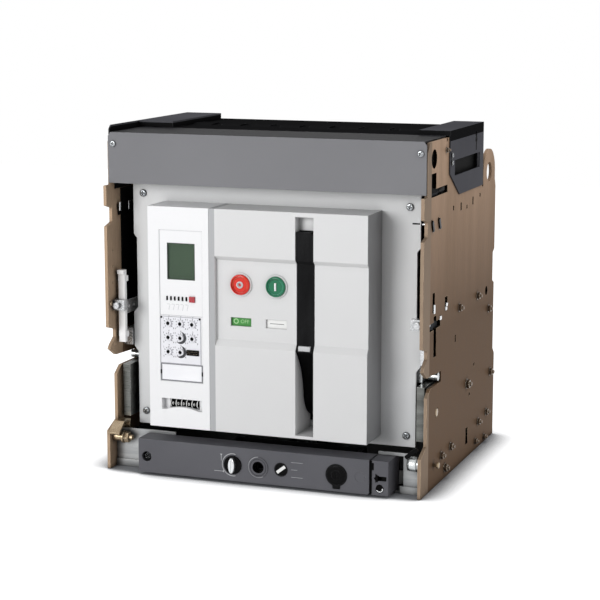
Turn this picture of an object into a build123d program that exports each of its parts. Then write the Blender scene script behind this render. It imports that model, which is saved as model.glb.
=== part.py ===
from build123d import *
import math
import os

# Draw-out air circuit breaker, three poles, standing in its cradle.
# Millimetres, +Z up, -Y to the front. The origin is the centre of the four floor bolts.

# Cradle: side plates, tray and tops
CRADLE_W = 412.0
PLATE_T = 4.0
HALF_W = CRADLE_W / 2
INNER_X = HALF_W - PLATE_T
PLATE_FRONT = -170.0
PLATE_REAR = 172.5
FOOT_FRONT = -172.5
FOOT_H = 49.0
PLATE_TOP = 424.0
SIDE_SLOT_Z = (127.0, 143.0)
SIDE_SLOT_END = -90.0
LIFT_EYE_Y = 129.5
LIFT_EYE_Z = 362.0
LIFT_EYE_R = 13.0
LIFT_EAR_R = 30.0
HOOK_Y = (-137.0, -108.5)
HOOK_Z = 324.5
HOOK_TILT = 18.0
TRAY_T = 2.5
TRAY_FRONT = -152.0
TRAY_LIP_H = 49.3
FLOOR_BOLT_INSET = 32.0
FLOOR_BOLT_Y = 250.0
FLOOR_BOLT_R = 5.5
TOP_FRONT = -158.0
TOP_H = 62.6
TOP_Z = (PLATE_TOP - TOP_H, PLATE_TOP)
TOP_SIDE_INSET = 1.5
TOP_HALF_W = HALF_W - TOP_SIDE_INSET
TOP_T = 1.8
TOP_FLANGE_REAR = -69.0
STRIP_FRONT = -135.0
STRIP_LOW_Z = PLATE_TOP - 48.0
STRIP_HALF_L = 188.0
ARC_REAR = 104.0
VENTS = 8
VENT_PITCH = 40.0
SHEET_FIT = 0.3
VENT_RISE = 2.0
CAP_PROUD = 6.0
CAP_TOP = PLATE_TOP + CAP_PROUD
CAP_DROP = 75.0
CAP_BOTTOM = PLATE_TOP - CAP_DROP
CAP_Y = (-67.0, 91.0)
CAP_T = 1.6
CAP_FLANGE_W = 40.0
CAP_LEFT_FRONT = -150.0
CAP_LEFT_TOP = CAP_TOP + 2.0
CAP_LEFT_FLANGE_W = 50.0
ARC_SIDE_DROP = 56.0
ARC_SIDE_Z = PLATE_TOP - ARC_SIDE_DROP
ARC_T = 2.0
CAP_WINDOW_Y = (-46.0, 73.0)
CAP_WINDOW_Z = (PLATE_TOP - 50.0, PLATE_TOP - 31.0)

# Power path
POLE_PITCH = 115.0
COPPER_T = 15.0
UPPER_Z = 243.5
LOWER_Z = 93.5
BAR_W = 72.0
TERMINAL_REAR = 192.3
TERMINAL_FRONT = 116.0
TERMINAL_HOLE_Y = 176.0
TERMINAL_HOLE_PITCH = 44.0
TERMINAL_HOLE_R = 6.5
BASE_Y = (134.0, 158.0)
BASE_Z = (56.0, 330.0)
STAB_TIP = 112.0
FINGER_T = 6.0
FINGERS = 5
FINGER_PITCH = 14.0
FINGER_REAR = 131.0
FINGER_FRONT = 98.0
TOUCH_GAP = 0.3

# Rails and racking
RAIL_SIDE_GAP = 3.0
RAIL_W = 9.5
RAIL_X = (INNER_X - RAIL_SIDE_GAP - RAIL_W, INNER_X - RAIL_SIDE_GAP)
RAIL_Z = (61.5, 128.3)
RAIL_Y = (-137.0, 131.0)
RAIL_T = 2.0
GUIDE_Y = (-128.0, 133.5)
RAIL_GAP = 0.3
PIN_Z = 134.5
PIN_R = 6.0
PIN_Y = (-60.0, 75.0)
GUIDE_PIN_R = 5.0
GUIDE_PIN_Y = -98.0
PANEL_LEFT_INSET = 44.5
PANEL_RIGHT_INSET = 57.1
PANEL_X = (-INNER_X + PANEL_LEFT_INSET, INNER_X - PANEL_RIGHT_INSET)
GATE_MARGIN = 3.0
CASE_MARGIN = 18.0
PANEL_Z = (3.0, 45.7)
PANEL_FRONT = -182.7
PANEL_WALL = 2.5
PANEL_AXIS_Z = 23.4
PANEL_SCREW_INSET = 11.0
PANEL_SCREW_HOLE_R = 6.5
PANEL_BOSS_R = 9.5
KNOB_X = -30.3
CRANK_X = 3.2
INDICATOR_X = 32.8
KEY_X = 103.9
KNOB_R = 11.5
CRANK_HOLE_R = 6.5
CRANK_SOCKET_R = 4.0
SCREW_R = 6.0
SCREW_END = 62.0
INDICATOR_R = 7.5
KEY_R = 12.5
SPIN_FIT = 0.1
SHAFT_FIT = 0.05
CARRIAGE_Y = (-58.0, -34.0)
LOCK_GAP = 1.6
LOCK_W = 22.0
LOCK_X = (PANEL_X[1] + LOCK_GAP, PANEL_X[1] + LOCK_GAP + LOCK_W)
LOCK_FRONT = -180.0
LOCK_REAR = -137.0
LOCK_PLUG_X = (LOCK_X[0] + LOCK_X[1]) / 2
LOCK_PLUG_Z = 11.5
LOCK_PLUG_R = 4.5

# Breaker carcass
CARCASS_SIDE_GAP = 24.0
CARCASS_HALF_W = INNER_X - CARCASS_SIDE_GAP
CARCASS_REAR = 92.0
CARCASS_Z = (62.0, 348.0)
SHEET_T = 2.0
FRONT_PLATE_Y = -122.4
FRONT_PLATE_T = 4.0
FRONT_PLATE_Z = (49.9, 357.5)
FRONT_SIDE_GAP = 18.0
FRONT_HALF_W = INNER_X - FRONT_SIDE_GAP
CLAMP_Z = (201.0, 214.0)
LINK_BAR_Z = (159.0, 251.0)
STOP_Z = (152.0, 173.0)
EAR_OUT = 5.5
HOUSING_FRONT = -30.0
HOUSING_WALL = 8.0
CHAMBER_W = 80.0
CHUTE_W = 92.0
CHUTE_CLEAR = 20.5
CHUTE_PROUD = 6.0
CHUTE_Z = (UPPER_Z + CHUTE_CLEAR, CARCASS_Z[1] + CHUTE_PROUD)
CHUTE_Y = (-20.0, 82.0)
CHUTE_VENTS = 6

# Contacts and mechanism
ARM_PIVOT = (30.0, 112.0)
CONTACT_DROP = 0.5
ARM_L = UPPER_Z - ARM_PIVOT[1] - CONTACT_DROP
ARM_W = 50.0
ARM_T = 12.0
ARM_PIN_H = 70.0
ARM_SWING = 18.0
PIVOT_PIN_R = 5.0
LINK_PIN_R = 4.0
LINK_L = 95.0
CRANK_R = 28.0
CRANK_SWING = 46.0
LINK_W = 8.0
LINK_EYE_R = 10.0
LINK_OPEN_HOLE_R = 6.2
MAIN_SHAFT_R = 12.0
CHARGE_AXIS = (-114.0, 116.0)
CHARGE_SHAFT_R = 8.0
CHARGE_SHAFT_X = (22.0, 107.0)
RATCHET_R = 26.0
RATCHET_TEETH = 16
RATCHET_X = (78.0, 84.0)
CAM_X = (92.0, 100.0)
CHEEK_X = (26.0, 101.0)
SPRING_X = (-85.0, -50.0)
SPRING_Y = -90.0
SPRING_R = 13.0
SPRING_WIRE_R = 2.5
SPRING_COILS = 7
SPRING_L = 62.0

# Raised front: trip unit and cover
COVER_FRONT = -177.1
COVER_X = (-62.3, 140.0)
COVER_Z = (62.3, 337.5)
COVER_WALL = 2.5
STRIP_W = 7.5
STEP_DEPTH = 5.0
STEP_LOW_Z = (169.5, 178.0)
STEP_HIGH_Z = (275.0, 280.0)
SLOT_X = (49.3, 72.2)
SLOT_FLOOR_Z = 66.0
SLOT_TOP_Z = 332.0
SLOT_REAR = -124.0
RECESS_DEPTH = 14.0
HANDLE_TOP = 314.0
HANDLE_DEPTH = 24.0
HANDLE_SIDE_GAP = 0.6
HUB_R = 36.0
OFF_X = -22.7
ON_X = 23.1
BUTTON_Z = 246.2
BUTTON_R = 12.4
BUTTON_RING = 2.2
BUTTON_PROUD = 4.5
FLAG_Z = (194.8, 205.3)
FLAG_W = 26.8
FLAG_STROKE = 12.0
TRIP_X = (-143.3, -62.6)
TRIP_FRAME_X = (-128.3, -71.0)
TRIP_FRAME_Z = (120.5, 309.0)
TRIP_FRAME_DEPTH = 0.8
LCD_X = (-118.0, -81.2)
LCD_Z = (248.0, 293.2)
DIAL_PANEL_X = (-128.0, -73.7)
DIAL_PANEL_Z = (143.2, 202.2)
DIAL_X0 = -116.9
DIAL_Z0 = 193.7
DIAL_PITCH_X = 16.0
DIAL_PITCH_Z = 17.75
DIAL_R = 4.2
DIAL_PROUD = 2.0
DIAL_COUNT = 8
PORT_X = (-92.8, -76.5)
PORT_Z = (154.8, 161.6)
RATING_X = (-126.2, -73.4)
RATING_Z = (122.6, 142.0)
COUNTER_X = (-127.0, -73.0)
COUNTER_Z = (84.7, 98.8)
COUNTER_DEPTH = 9.0
COUNTER_ARCH_R = 60.0
COUNTER_ARCH_RISE = 4.0
WHEEL_R = 5.2
WHEEL_W = 6.2
WHEEL_PITCH = 7.1
WHEELS = 5
RESET_X = -85.0
RESET_Z = 224.6
RESET_W = 7.0

POLES = (-POLE_PITCH, 0.0, POLE_PITCH)
SKIN_Y = COVER_FRONT + STEP_DEPTH


def block(x, y, z):
    """Box between two corners, each axis given as (low, high)."""
    size = [b - a for a, b in (x, y, z)]
    mid = [(a + b) / 2 for a, b in (x, y, z)]
    return Pos(*mid) * Box(*size)


def rod_x(y, z, radius, x):
    return Pos((x[0] + x[1]) / 2, y, z) * Rot(0, 90, 0) * Cylinder(radius, x[1] - x[0])


def rod_y(x, z, radius, y):
    return Pos(x, (y[0] + y[1]) / 2, z) * Rot(90, 0, 0) * Cylinder(radius, y[1] - y[0])


def rod_z(x, y, radius, z):
    return Pos(x, y, (z[0] + z[1]) / 2) * Cylinder(radius, z[1] - z[0])


def slab_yz(points, x):
    """Outline of (y, z) points, as thick as the x range."""
    face = make_face(Polyline(*points, close=True))
    return extrude(Plane.YZ.offset(x[0]) * face, x[1] - x[0])


def slab_xz(points, y):
    """Outline of (x, z) points, as thick as the y range."""
    face = make_face(Polyline(*points, close=True))
    return extrude(Plane.XZ.offset(-y[1]) * face, y[1] - y[0])


def both_sides(shape):
    return [shape, mirror(shape, about=Plane.YZ)]


def save(name, *shapes):
    solids = [s for shape in shapes for s in shape.solids()]
    export_step(solids[0] if len(solids) == 1 else Compound(solids), "parts/" + name + ".step")


# Cradle


def side_plate():
    """Right side plate: stepped front edge, open guide slot, lifting ear and punched holes."""
    slot_low, slot_high = SIDE_SLOT_Z
    behind_cap = CAP_WINDOW_Z[0] - 8
    outline = [
        (FOOT_FRONT, 0), (FOOT_FRONT, FOOT_H), (PLATE_FRONT + 21, FOOT_H + 10),
        (PLATE_FRONT + 21, slot_low - 9), (PLATE_FRONT + 34, slot_low),
        (SIDE_SLOT_END, slot_low), (SIDE_SLOT_END, slot_high - 3), (PLATE_FRONT + 20, slot_high),
        (PLATE_FRONT + 3, slot_high + 10), (PLATE_FRONT + 7, slot_high + 15),
        (PLATE_FRONT + 19, slot_high + 23), (PLATE_FRONT + 19, slot_high + 33),
        (PLATE_FRONT, slot_high + 38), (PLATE_FRONT, 308), (PLATE_FRONT + 15, 312),
        (PLATE_FRONT + 15, 330), (PLATE_FRONT, 334), (PLATE_FRONT, TOP_Z[0] - 2.5),
        (TOP_FRONT + TOP_T, TOP_Z[0] - 2.5), (TOP_FRONT + TOP_T, PLATE_TOP - 12),
        (TOP_FRONT + 10, PLATE_TOP - TOP_T), (CAP_WINDOW_Y[0] - 4, PLATE_TOP - TOP_T),
        (CAP_WINDOW_Y[0] - 4, behind_cap), (CAP_Y[1] + 2, behind_cap), (CAP_Y[1] + 2, 346),
        (LIFT_EYE_Y - LIFT_EAR_R, 346), (LIFT_EYE_Y - LIFT_EAR_R, LIFT_EYE_Z),
        (LIFT_EYE_Y + LIFT_EAR_R, LIFT_EYE_Z), (LIFT_EYE_Y + LIFT_EAR_R, 350),
        (PLATE_REAR - 8, 340), (PLATE_REAR - 8, 256), (PLATE_REAR - 16, 252),
        (PLATE_REAR - 16, 214), (PLATE_REAR - 8, 210), (PLATE_REAR - 8, 120),
        (PLATE_REAR, 112), (PLATE_REAR, 0),
    ]
    x = (INNER_X, HALF_W)
    plate = slab_yz(outline, x) + rod_x(LIFT_EYE_Y, LIFT_EYE_Z, LIFT_EAR_R, x)
    plate -= rod_x(LIFT_EYE_Y, LIFT_EYE_Z, LIFT_EYE_R, (x[0] - 1, x[1] + 1))
    plate -= rod_x(-130.5, PLATE_TOP - 22, 11.5, (x[0] - 1, x[1] + 1))
    cut_x = (x[0] - 1, x[1] + 1)
    # key slot below the round hole, two hook slots, the long adjusting slot and the small gauge slots
    punched = [
        ((-141, -121), (357, 385)), ((-122, -72), (357, 366)),
        ((-131, -121), (218, 242)), ((-77, -65), (212, 229)),
        ((-142, -96), (197, 206)), ((-125, -113), (163, 213)),
        ((-45.5, -40.5), (331, 337)), ((-11, -5.5), (327, 337)), ((17.5, 22), (326, 331)),
        ((46, 51), (328, 338)), ((81.5, 86.5), (334, 339)), ((-28.5, -24), (164, 173)),
        ((30, 41), (18, 40)),
    ]
    for y, z in punched:
        plate -= block(cut_x, y, z)
    for y in HOOK_Y:
        hook = Box(2 * PLATE_T, 3.5, 13.0)
        plate -= Pos(sum(x) / 2, y, HOOK_Z) * Rot(HOOK_TILT, 0, 0) * hook
    for y, z, radius in [(125, 205, 6), (67, 117, 2.5), (46, 82, 2.5), (-107, 92, 6)]:
        plate -= rod_x(y, z, radius, cut_x)
    plate -= rod_x(-76, PLATE_TOP - 4, 2.5, cut_x)
    return plate


def base_tray():
    """Zinc-plated tray: floor, upturned sides, front lip with the gate for the panel, rear lip."""
    floor = block((-INNER_X, INNER_X), (TRAY_FRONT, PLATE_REAR - 6), (0, TRAY_T))
    lip = block((-INNER_X, INNER_X), (TRAY_FRONT, TRAY_FRONT + TRAY_T), (0, TRAY_LIP_H))
    hem = block((PANEL_X[1] + 30, INNER_X), (TRAY_FRONT - 2.5, TRAY_FRONT), (0, 9))
    hem += block((-INNER_X, PANEL_X[0] - 1), (TRAY_FRONT - 2.5, TRAY_FRONT), (0, 9))
    gate_y = (TRAY_FRONT - 1, TRAY_FRONT + TRAY_T + 1)
    lip -= block((PANEL_X[0] + 37, PANEL_X[1] + 2), gate_y, (PANEL_Z[1] - 1, TRAY_LIP_H + 1))
    gate = CASE_MARGIN + GATE_MARGIN
    lip -= block((KNOB_X - gate, KEY_X + gate), gate_y, (8, PANEL_Z[1]))
    lip -= block((LOCK_X[0] - 1, LOCK_X[1] + 10), gate_y, (TRAY_T, PANEL_Z[1]))
    lip -= block((INNER_X - 15, INNER_X + 1), gate_y, (TRAY_LIP_H - 5.3, TRAY_LIP_H + 1))
    rear = block((-INNER_X, INNER_X), (PLATE_REAR - 6 - TRAY_T, PLATE_REAR - 6), (0, 40))
    wall = block((INNER_X - TRAY_T, INNER_X), (TRAY_FRONT, PLATE_REAR - 6), (0, 36))
    tray = floor + lip + hem + rear + wall + mirror(wall, about=Plane.YZ)
    bolt_x = INNER_X - FLOOR_BOLT_INSET
    for x in (-bolt_x, bolt_x):
        for y in (-FLOOR_BOLT_Y / 2, FLOOR_BOLT_Y / 2):
            tray -= rod_z(x, y, FLOOR_BOLT_R, (-1, TRAY_T + 1))
    return tray


def top_cover():
    """Painted cover bent from one sheet: front face, top flange, short return below."""
    front = block((-TOP_HALF_W, TOP_HALF_W), (TOP_FRONT, TOP_FRONT + TOP_T), TOP_Z)
    top = block((-INNER_X + 0.3, INNER_X - 0.3), (TOP_FRONT, TOP_FLANGE_REAR), (TOP_Z[1] - TOP_T, TOP_Z[1]))
    hem = block((-INNER_X + 4, INNER_X - 4), (TOP_FRONT, TOP_FRONT + 16), (TOP_Z[0], TOP_Z[0] + TOP_T))
    hang = block((-150, 150), (TOP_FLANGE_REAR - TOP_T, TOP_FLANGE_REAR), (TOP_Z[1] - 18, TOP_Z[1]))
    cover = front + top + hem + hang
    corner = [(TOP_HALF_W - 4, TOP_Z[1] + 1), (TOP_HALF_W + 1, TOP_Z[1] + 1), (TOP_HALF_W + 1, TOP_Z[1] - 6)]
    cut = slab_xz(corner, (TOP_FRONT - 1, TOP_FRONT + TOP_T))
    return cover - cut - mirror(cut, about=Plane.YZ)


def control_terminals():
    """Moulded strip of control terminals under the top cover: stepped body with wire funnels."""
    low, high = STRIP_LOW_Z, TOP_Z[1] - TOP_T
    rear = TOP_FLANGE_REAR - TOP_T - 2
    middle = STRIP_FRONT + 15
    back = STRIP_FRONT + 39
    step = [(STRIP_FRONT, low), (STRIP_FRONT, low + 24), (middle, low + 24), (middle, low + 36),
            (back, low + 36), (back, high), (rear, high), (rear, low)]
    strip = slab_yz(step, (-STRIP_HALF_L, STRIP_HALF_L))
    for i in range(20):
        x = -138 + i * 14.5
        strip -= block((x - 4.5, x + 4.5), (-136, -124), (384, 396))
    return strip


def arc_cover():
    """Dark sheet over the arc chutes: down-turned edges and sides, and a row of pressed vents."""
    half = HALF_W - CAP_T - 5
    top = (PLATE_TOP - ARC_T, PLATE_TOP)
    sheet = block((-half, half), (CAP_Y[0], ARC_REAR), top)
    sheet += block((-half, half), (ARC_REAR - ARC_T, ARC_REAR), (ARC_SIDE_Z + 2, PLATE_TOP))
    sheet += block((-half, half), (CAP_Y[0], CAP_Y[0] + ARC_T), (PLATE_TOP - 14, PLATE_TOP))
    side = block((half - ARC_T, half), (CAP_Y[0], ARC_REAR), (ARC_SIDE_Z, PLATE_TOP))
    sheet += side + mirror(side, about=Plane.YZ)
    for i in range(VENTS):
        x = (i - (VENTS - 1) / 2) * VENT_PITCH
        vent = [(-16, PLATE_TOP), (-8, PLATE_TOP + VENT_RISE), (10, PLATE_TOP + VENT_RISE), (15, PLATE_TOP)]
        sheet += slab_yz(vent, (x - 13, x + 13))
    return sheet


def arc_cover_end(front, top, flange_w):
    """Right end of the arc cover: outer wall with a window, and a folded flange on top."""
    outer = HALF_W + CAP_T
    wall = [(front, top), (CAP_Y[1], top), (CAP_Y[1], CAP_BOTTOM), (CAP_Y[0] + 45, CAP_BOTTOM),
            (CAP_Y[0], CAP_BOTTOM + 29)]
    if front < CAP_Y[0]:
        wall += [(CAP_Y[0], PLATE_TOP - 14), (front, PLATE_TOP - 14), (front, top - 5)]
        wall[0] = (front + 5, top)
    cap = slab_yz(wall, (HALF_W, outer))
    cap -= block((HALF_W - 1, outer + 1), CAP_WINDOW_Y, CAP_WINDOW_Z)
    inner = outer - flange_w
    low = PLATE_TOP + SHEET_FIT
    cap += block((inner, outer), CAP_Y, (top - ARC_T, top))
    cap += block((inner, inner + ARC_T), CAP_Y, (low, top))
    cap += block((inner, outer), (CAP_Y[0], CAP_Y[0] + ARC_T), (low, top))
    cap += block((INNER_X, HALF_W), (CAP_Y[1] - 2, CAP_Y[1]), (ARC_SIDE_Z - 1, top))
    hole_z = PLATE_TOP - 7
    cap -= rod_x(54.5, hole_z, 4.0, (HALF_W - 1, outer + 1))
    cap -= block((HALF_W - 1, outer + 1), (52.5, 56.5), (hole_z - 14, hole_z))
    return cap


def bar_section(pole, level, y):
    x = pole - BAR_W / 2, pole + BAR_W / 2
    z = level - COPPER_T / 2, level + COPPER_T / 2
    return block(x, y, z)


def main_terminals():
    """Six flat copper terminals with two bolt holes each."""
    bars = []
    for level in (UPPER_Z, LOWER_Z):
        for pole in POLES:
            bar = bar_section(pole, level, (TERMINAL_FRONT, TERMINAL_REAR))
            for side in (-1, 1):
                x = pole + side * TERMINAL_HOLE_PITCH / 2
                bar -= rod_z(x, TERMINAL_HOLE_Y, TERMINAL_HOLE_R, (level - COPPER_T, level + COPPER_T))
            bars.append(bar)
    return bars


def terminal_base():
    """Moulded rear insulator: back wall, side feet on the plates, barriers between the poles."""
    base = block((-INNER_X + 0.2, INNER_X - 0.2), BASE_Y, BASE_Z)
    for i in range(4):
        x = (i - 1.5) * POLE_PITCH
        rib = [(BASE_Y[1] - 1, BASE_Z[0]), (PLATE_REAR - 8, BASE_Z[0] + 12), (PLATE_REAR - 8, BASE_Z[1] - 12),
               (BASE_Y[1] - 1, BASE_Z[1])]
        base += slab_yz(rib, (x - 3, x + 3))
    for pole in POLES:
        for level in (UPPER_Z, LOWER_Z):
            base -= bar_section(pole, level, (BASE_Y[0] - 1, BASE_Y[1] + 1))
        x = (pole - 34, pole + 34)
        base -= block(x, (BASE_Y[1] - 10, BASE_Y[1] + 1), (LOWER_Z + 35, UPPER_Z - 35))
    return base


def contact_clusters():
    """Spring fingers, in pairs above and below each terminal, that take the breaker's stabs."""
    fingers = []
    middle = (STAB_TIP + TERMINAL_FRONT) / 2
    for level in (UPPER_Z, LOWER_Z):
        for pole in POLES:
            for i in range(FINGERS):
                x = pole + (i - (FINGERS - 1) / 2) * FINGER_PITCH
                for side in (-1, 1):
                    face = COPPER_T / 2
                    z = [face + 3, face + TOUCH_GAP, face + TOUCH_GAP, face + 2, face + 2, face, face,
                         face + FINGER_T, face + FINGER_T]
                    y = [FINGER_FRONT, FINGER_FRONT + 3, STAB_TIP - 4, STAB_TIP, TERMINAL_FRONT,
                         TERMINAL_FRONT + 4, FINGER_REAR, FINGER_REAR, middle]
                    points = [(a, level + side * b) for a, b in zip(y, z)]
                    fingers.append(slab_yz(points, (x - 2.5, x + 2.5)))
    return fingers


def drawout_panel():
    """Bottom panel: hollow moulding with the openings for crank, knob, indicator and key."""
    panel = block(PANEL_X, (PANEL_FRONT, TRAY_FRONT), PANEL_Z)
    panel = fillet(panel.edges().filter_by(Axis.Y).group_by(Axis.Z)[0], 3.0)
    inside_x = PANEL_X[0] + PANEL_WALL, PANEL_X[1] - PANEL_WALL
    inside_z = PANEL_Z[0] + PANEL_WALL, PANEL_Z[1] - PANEL_WALL
    panel -= block(inside_x, (PANEL_FRONT + PANEL_WALL, TRAY_FRONT + 1), inside_z)
    face = (PANEL_FRONT, PANEL_FRONT + 6)
    cut = (PANEL_FRONT - 1, PANEL_FRONT + 7)
    bosses = [(KNOB_X, KNOB_R), (CRANK_X, CRANK_HOLE_R), (INDICATOR_X, INDICATOR_R), (KEY_X, KEY_R)]
    for x, radius in bosses:
        panel += rod_y(x, PANEL_AXIS_Z, radius + 2.5, face)
    panel += rod_y(CRANK_X, PANEL_AXIS_Z, CRANK_HOLE_R + 6, (PANEL_FRONT - 1, PANEL_FRONT + 1))
    panel -= rod_y(CRANK_X, PANEL_AXIS_Z, CRANK_HOLE_R + 3.5, (PANEL_FRONT - 2, PANEL_FRONT + 0.5))
    for x, radius in bosses:
        panel -= rod_y(x, PANEL_AXIS_Z, radius + SPIN_FIT, cut)
    for x in (PANEL_X[0] + PANEL_SCREW_INSET, PANEL_X[1] - PANEL_SCREW_INSET):
        panel += rod_y(x, PANEL_AXIS_Z, PANEL_BOSS_R, (PANEL_FRONT + 1, TRAY_FRONT))
        panel -= rod_y(x, PANEL_AXIS_Z, PANEL_SCREW_HOLE_R, (PANEL_FRONT - 1, PANEL_FRONT + 9))
    return panel


def racking_housing():
    """Steel case behind the panel that carries the racking screw and the knob, disc and key."""
    case_x = (KNOB_X - CASE_MARGIN, KEY_X + CASE_MARGIN)
    case = block(case_x, (TRAY_FRONT + 3, -120), (TRAY_T, PANEL_Z[1] - 1.5))
    case -= block((case_x[0] + 4, case_x[1] - 4), (TRAY_FRONT + 6, -124), (TRAY_T + 3, PANEL_Z[1]))
    bearing = block((CRANK_X - 16, CRANK_X + 16), (SCREW_END - 12, SCREW_END - 2), (TRAY_T, 40))
    for shape_y in ((TRAY_FRONT, -118), (SCREW_END - 20, SCREW_END + 1)):
        cutter = rod_y(CRANK_X, PANEL_AXIS_Z, SCREW_R + SHAFT_FIT, shape_y)
        case -= cutter
        bearing -= cutter
    for x, radius in ((KNOB_X, 5.0), (INDICATOR_X, 4.0), (KEY_X, 5.0)):
        case -= rod_y(x, PANEL_AXIS_Z, radius + SHAFT_FIT, (TRAY_FRONT + 2, TRAY_FRONT + 7))
    return [case, bearing]


def lock_block():
    """Position lock beside the panel, with an upper slide slot and the round lock bore."""
    body = block(LOCK_X, (LOCK_FRONT, LOCK_REAR), (TRAY_T, 45.0))
    body = fillet(body.edges().filter_by(Axis.Z).group_by(Axis.Y)[0], 1.5)
    body -= rod_y(LOCK_PLUG_X, LOCK_PLUG_Z, LOCK_PLUG_R + SPIN_FIT, (LOCK_FRONT - 1, LOCK_FRONT + 16))
    arrow = [(150, 23), (155, 28), (155, 25.5), (165, 25.5), (165, 20.5), (155, 20.5), (155, 18)]
    return body - slab_xz(arrow, (LOCK_FRONT - 1, LOCK_FRONT + 6))


def foot_bracket():
    """Bent strap at the left front foot that covers the tie pin."""
    t = 2.5
    outer = [(-176, FOOT_H - 1), (-160, 59.5), (-142, 59.5), (-142, 40), (-142 - t, 40), (-142 - t, 59.5 - t),
             (-159, 59.5 - t), (-175, FOOT_H - 1 - t)]
    return slab_yz(outer, (-INNER_X, -INNER_X + 14.5))


def foot_pins():
    """Tie pins through the front feet: spacer, washer, nut on the left and a roller on the right."""
    axis_y, axis_z = TRAY_FRONT - 8.2, 39.6
    head = -INNER_X + 13
    left = rod_x(axis_y, axis_z, 5.5, (-INNER_X, head)) + rod_x(axis_y, axis_z, 8.0, (head, head + 2))
    nut = extrude(Plane.YZ.offset(head + 2) * Pos(axis_y, axis_z) * RegularPolygon(7.0, 6), 6.5)
    left += nut + rod_x(axis_y, axis_z, 3.5, (-181, -176))
    roller = INNER_X - 11
    right = rod_x(axis_y, axis_z, 8.0, (roller, INNER_X)) + rod_x(axis_y, axis_z, 4.0, (roller - 4, roller))
    return [left, right]


def frame_bolts():
    """Hexagon bolt heads on the outer faces that hold tray, rear insulator and rail guides."""
    heads = []
    places = [(149.9, 90.4, 7.5), (-68, 13, 7.5), (-122, 30, 7.0), (31.5, 98.6, 6.5)]
    for y, z, across in places:
        head = extrude(Plane.YZ.offset(HALF_W) * Pos(y, z) * RegularPolygon(across, 6), 4.0)
        heads += both_sides(head)
    return heads


def rail_guides():
    """Channels on the inner faces of the side plates in which the rails run."""
    low, high = RAIL_Z[0] + RAIL_T + RAIL_GAP, RAIL_Z[1] - RAIL_T - RAIL_GAP
    inner = RAIL_X[0] + RAIL_T + 2
    guide = block((inner, INNER_X), GUIDE_Y, (low, high))
    guide -= block((inner - 1, INNER_X - 2), (GUIDE_Y[0] - 1, GUIDE_Y[1] + 1), (low + 2, high - 2))
    return both_sides(guide)


def rail():
    """Right pull-out rail: a channel open to the outside, closed by a bent tab at the front."""
    body = block(RAIL_X, RAIL_Y, RAIL_Z)
    body -= block((RAIL_X[0] + RAIL_T, RAIL_X[1] + 1), (RAIL_Y[0] + RAIL_T, RAIL_Y[1] + 1),
                  (RAIL_Z[0] + RAIL_T, RAIL_Z[1] - RAIL_T))
    body -= block((RAIL_X[0] - 1, RAIL_X[0] + RAIL_T + 1), (RAIL_Y[0] + 20, RAIL_Y[0] + 60), (85, 105))
    return body


def side_clamps():
    """Clamps on the inner faces of the side plates, beside the recess of the front plate."""
    body = block((FRONT_HALF_W + 2.5, INNER_X), (-157, -148), CLAMP_Z)
    body += block((INNER_X - 3, INNER_X), (-157, -125), CLAMP_Z)
    body += rod_y(INNER_X - 6, sum(CLAMP_Z) / 2, 4.0, (-162, -157))
    return both_sides(body)


def interlock_bar():
    """White link of the door interlock on the left plate, in two guides."""
    inner = -INNER_X + 12
    bar = block((-INNER_X + 3.3, inner), (-147.5, -142), LINK_BAR_Z)
    bar += block((-INNER_X + 3.3, inner), (-150.5, -142), (LINK_BAR_Z[1] - 5, LINK_BAR_Z[1]))
    guide_z = (LINK_BAR_Z[0] + 6, LINK_BAR_Z[1] - 15)
    guides = [block((-INNER_X, inner), (-142, -137), (z, z + 7)) for z in guide_z]
    return [bar] + guides


def position_stop():
    """Zinc stop blocks on the side plates above the guide slots."""
    inner = INNER_X - 11.7
    body = block((inner, INNER_X), (-126, -100), STOP_Z)
    body -= block((inner - 2, inner + 4.7), (-118, -108), (STOP_Z[0] + 5, STOP_Z[1] - 5))
    return both_sides(body)


# Racking gear


def racking_screw():
    """Threaded spindle along Y with a square socket for the crank at its front end."""
    shaft = rod_y(CRANK_X, PANEL_AXIS_Z, SCREW_R, (PANEL_FRONT + 8, SCREW_END))
    shaft += rod_y(CRANK_X, PANEL_AXIS_Z, SCREW_R + 3, (-115, -112))
    shaft -= rod_y(CRANK_X, PANEL_AXIS_Z, CRANK_SOCKET_R, (PANEL_FRONT + 7, PANEL_FRONT + 30))
    return shaft


def racking_carriage():
    """Nut block on the spindle with the lug that pushes the breaker out."""
    body = block((CRANK_X - 22, CRANK_X + 22), CARRIAGE_Y, (8, 40))
    body += block((CRANK_X - 14, CRANK_X + 14), (CARRIAGE_Y[0], CARRIAGE_Y[0] + 8), (40, 58))
    return body - rod_y(CRANK_X, PANEL_AXIS_Z, SCREW_R + SHAFT_FIT, (CARRIAGE_Y[0] - 1, CARRIAGE_Y[1] + 1))


def release_knob():
    """Round knob with a crescent grip bar, on a short spindle."""
    knob = rod_y(KNOB_X, PANEL_AXIS_Z, KNOB_R, (PANEL_FRONT - 1, PANEL_FRONT + 8))
    grip_z = (PANEL_AXIS_Z - 10.5, PANEL_AXIS_Z + 10.5)
    grip = block((KNOB_X - 2.5, KNOB_X + 3.5), (PANEL_FRONT - 7, PANEL_FRONT), grip_z)
    grip = fillet(grip.edges().filter_by(Axis.X).group_by(Axis.Y)[0], 5.0)
    return knob + grip + rod_y(KNOB_X, PANEL_AXIS_Z, 5.0, (PANEL_FRONT + 7, TRAY_FRONT + 12))


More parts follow.
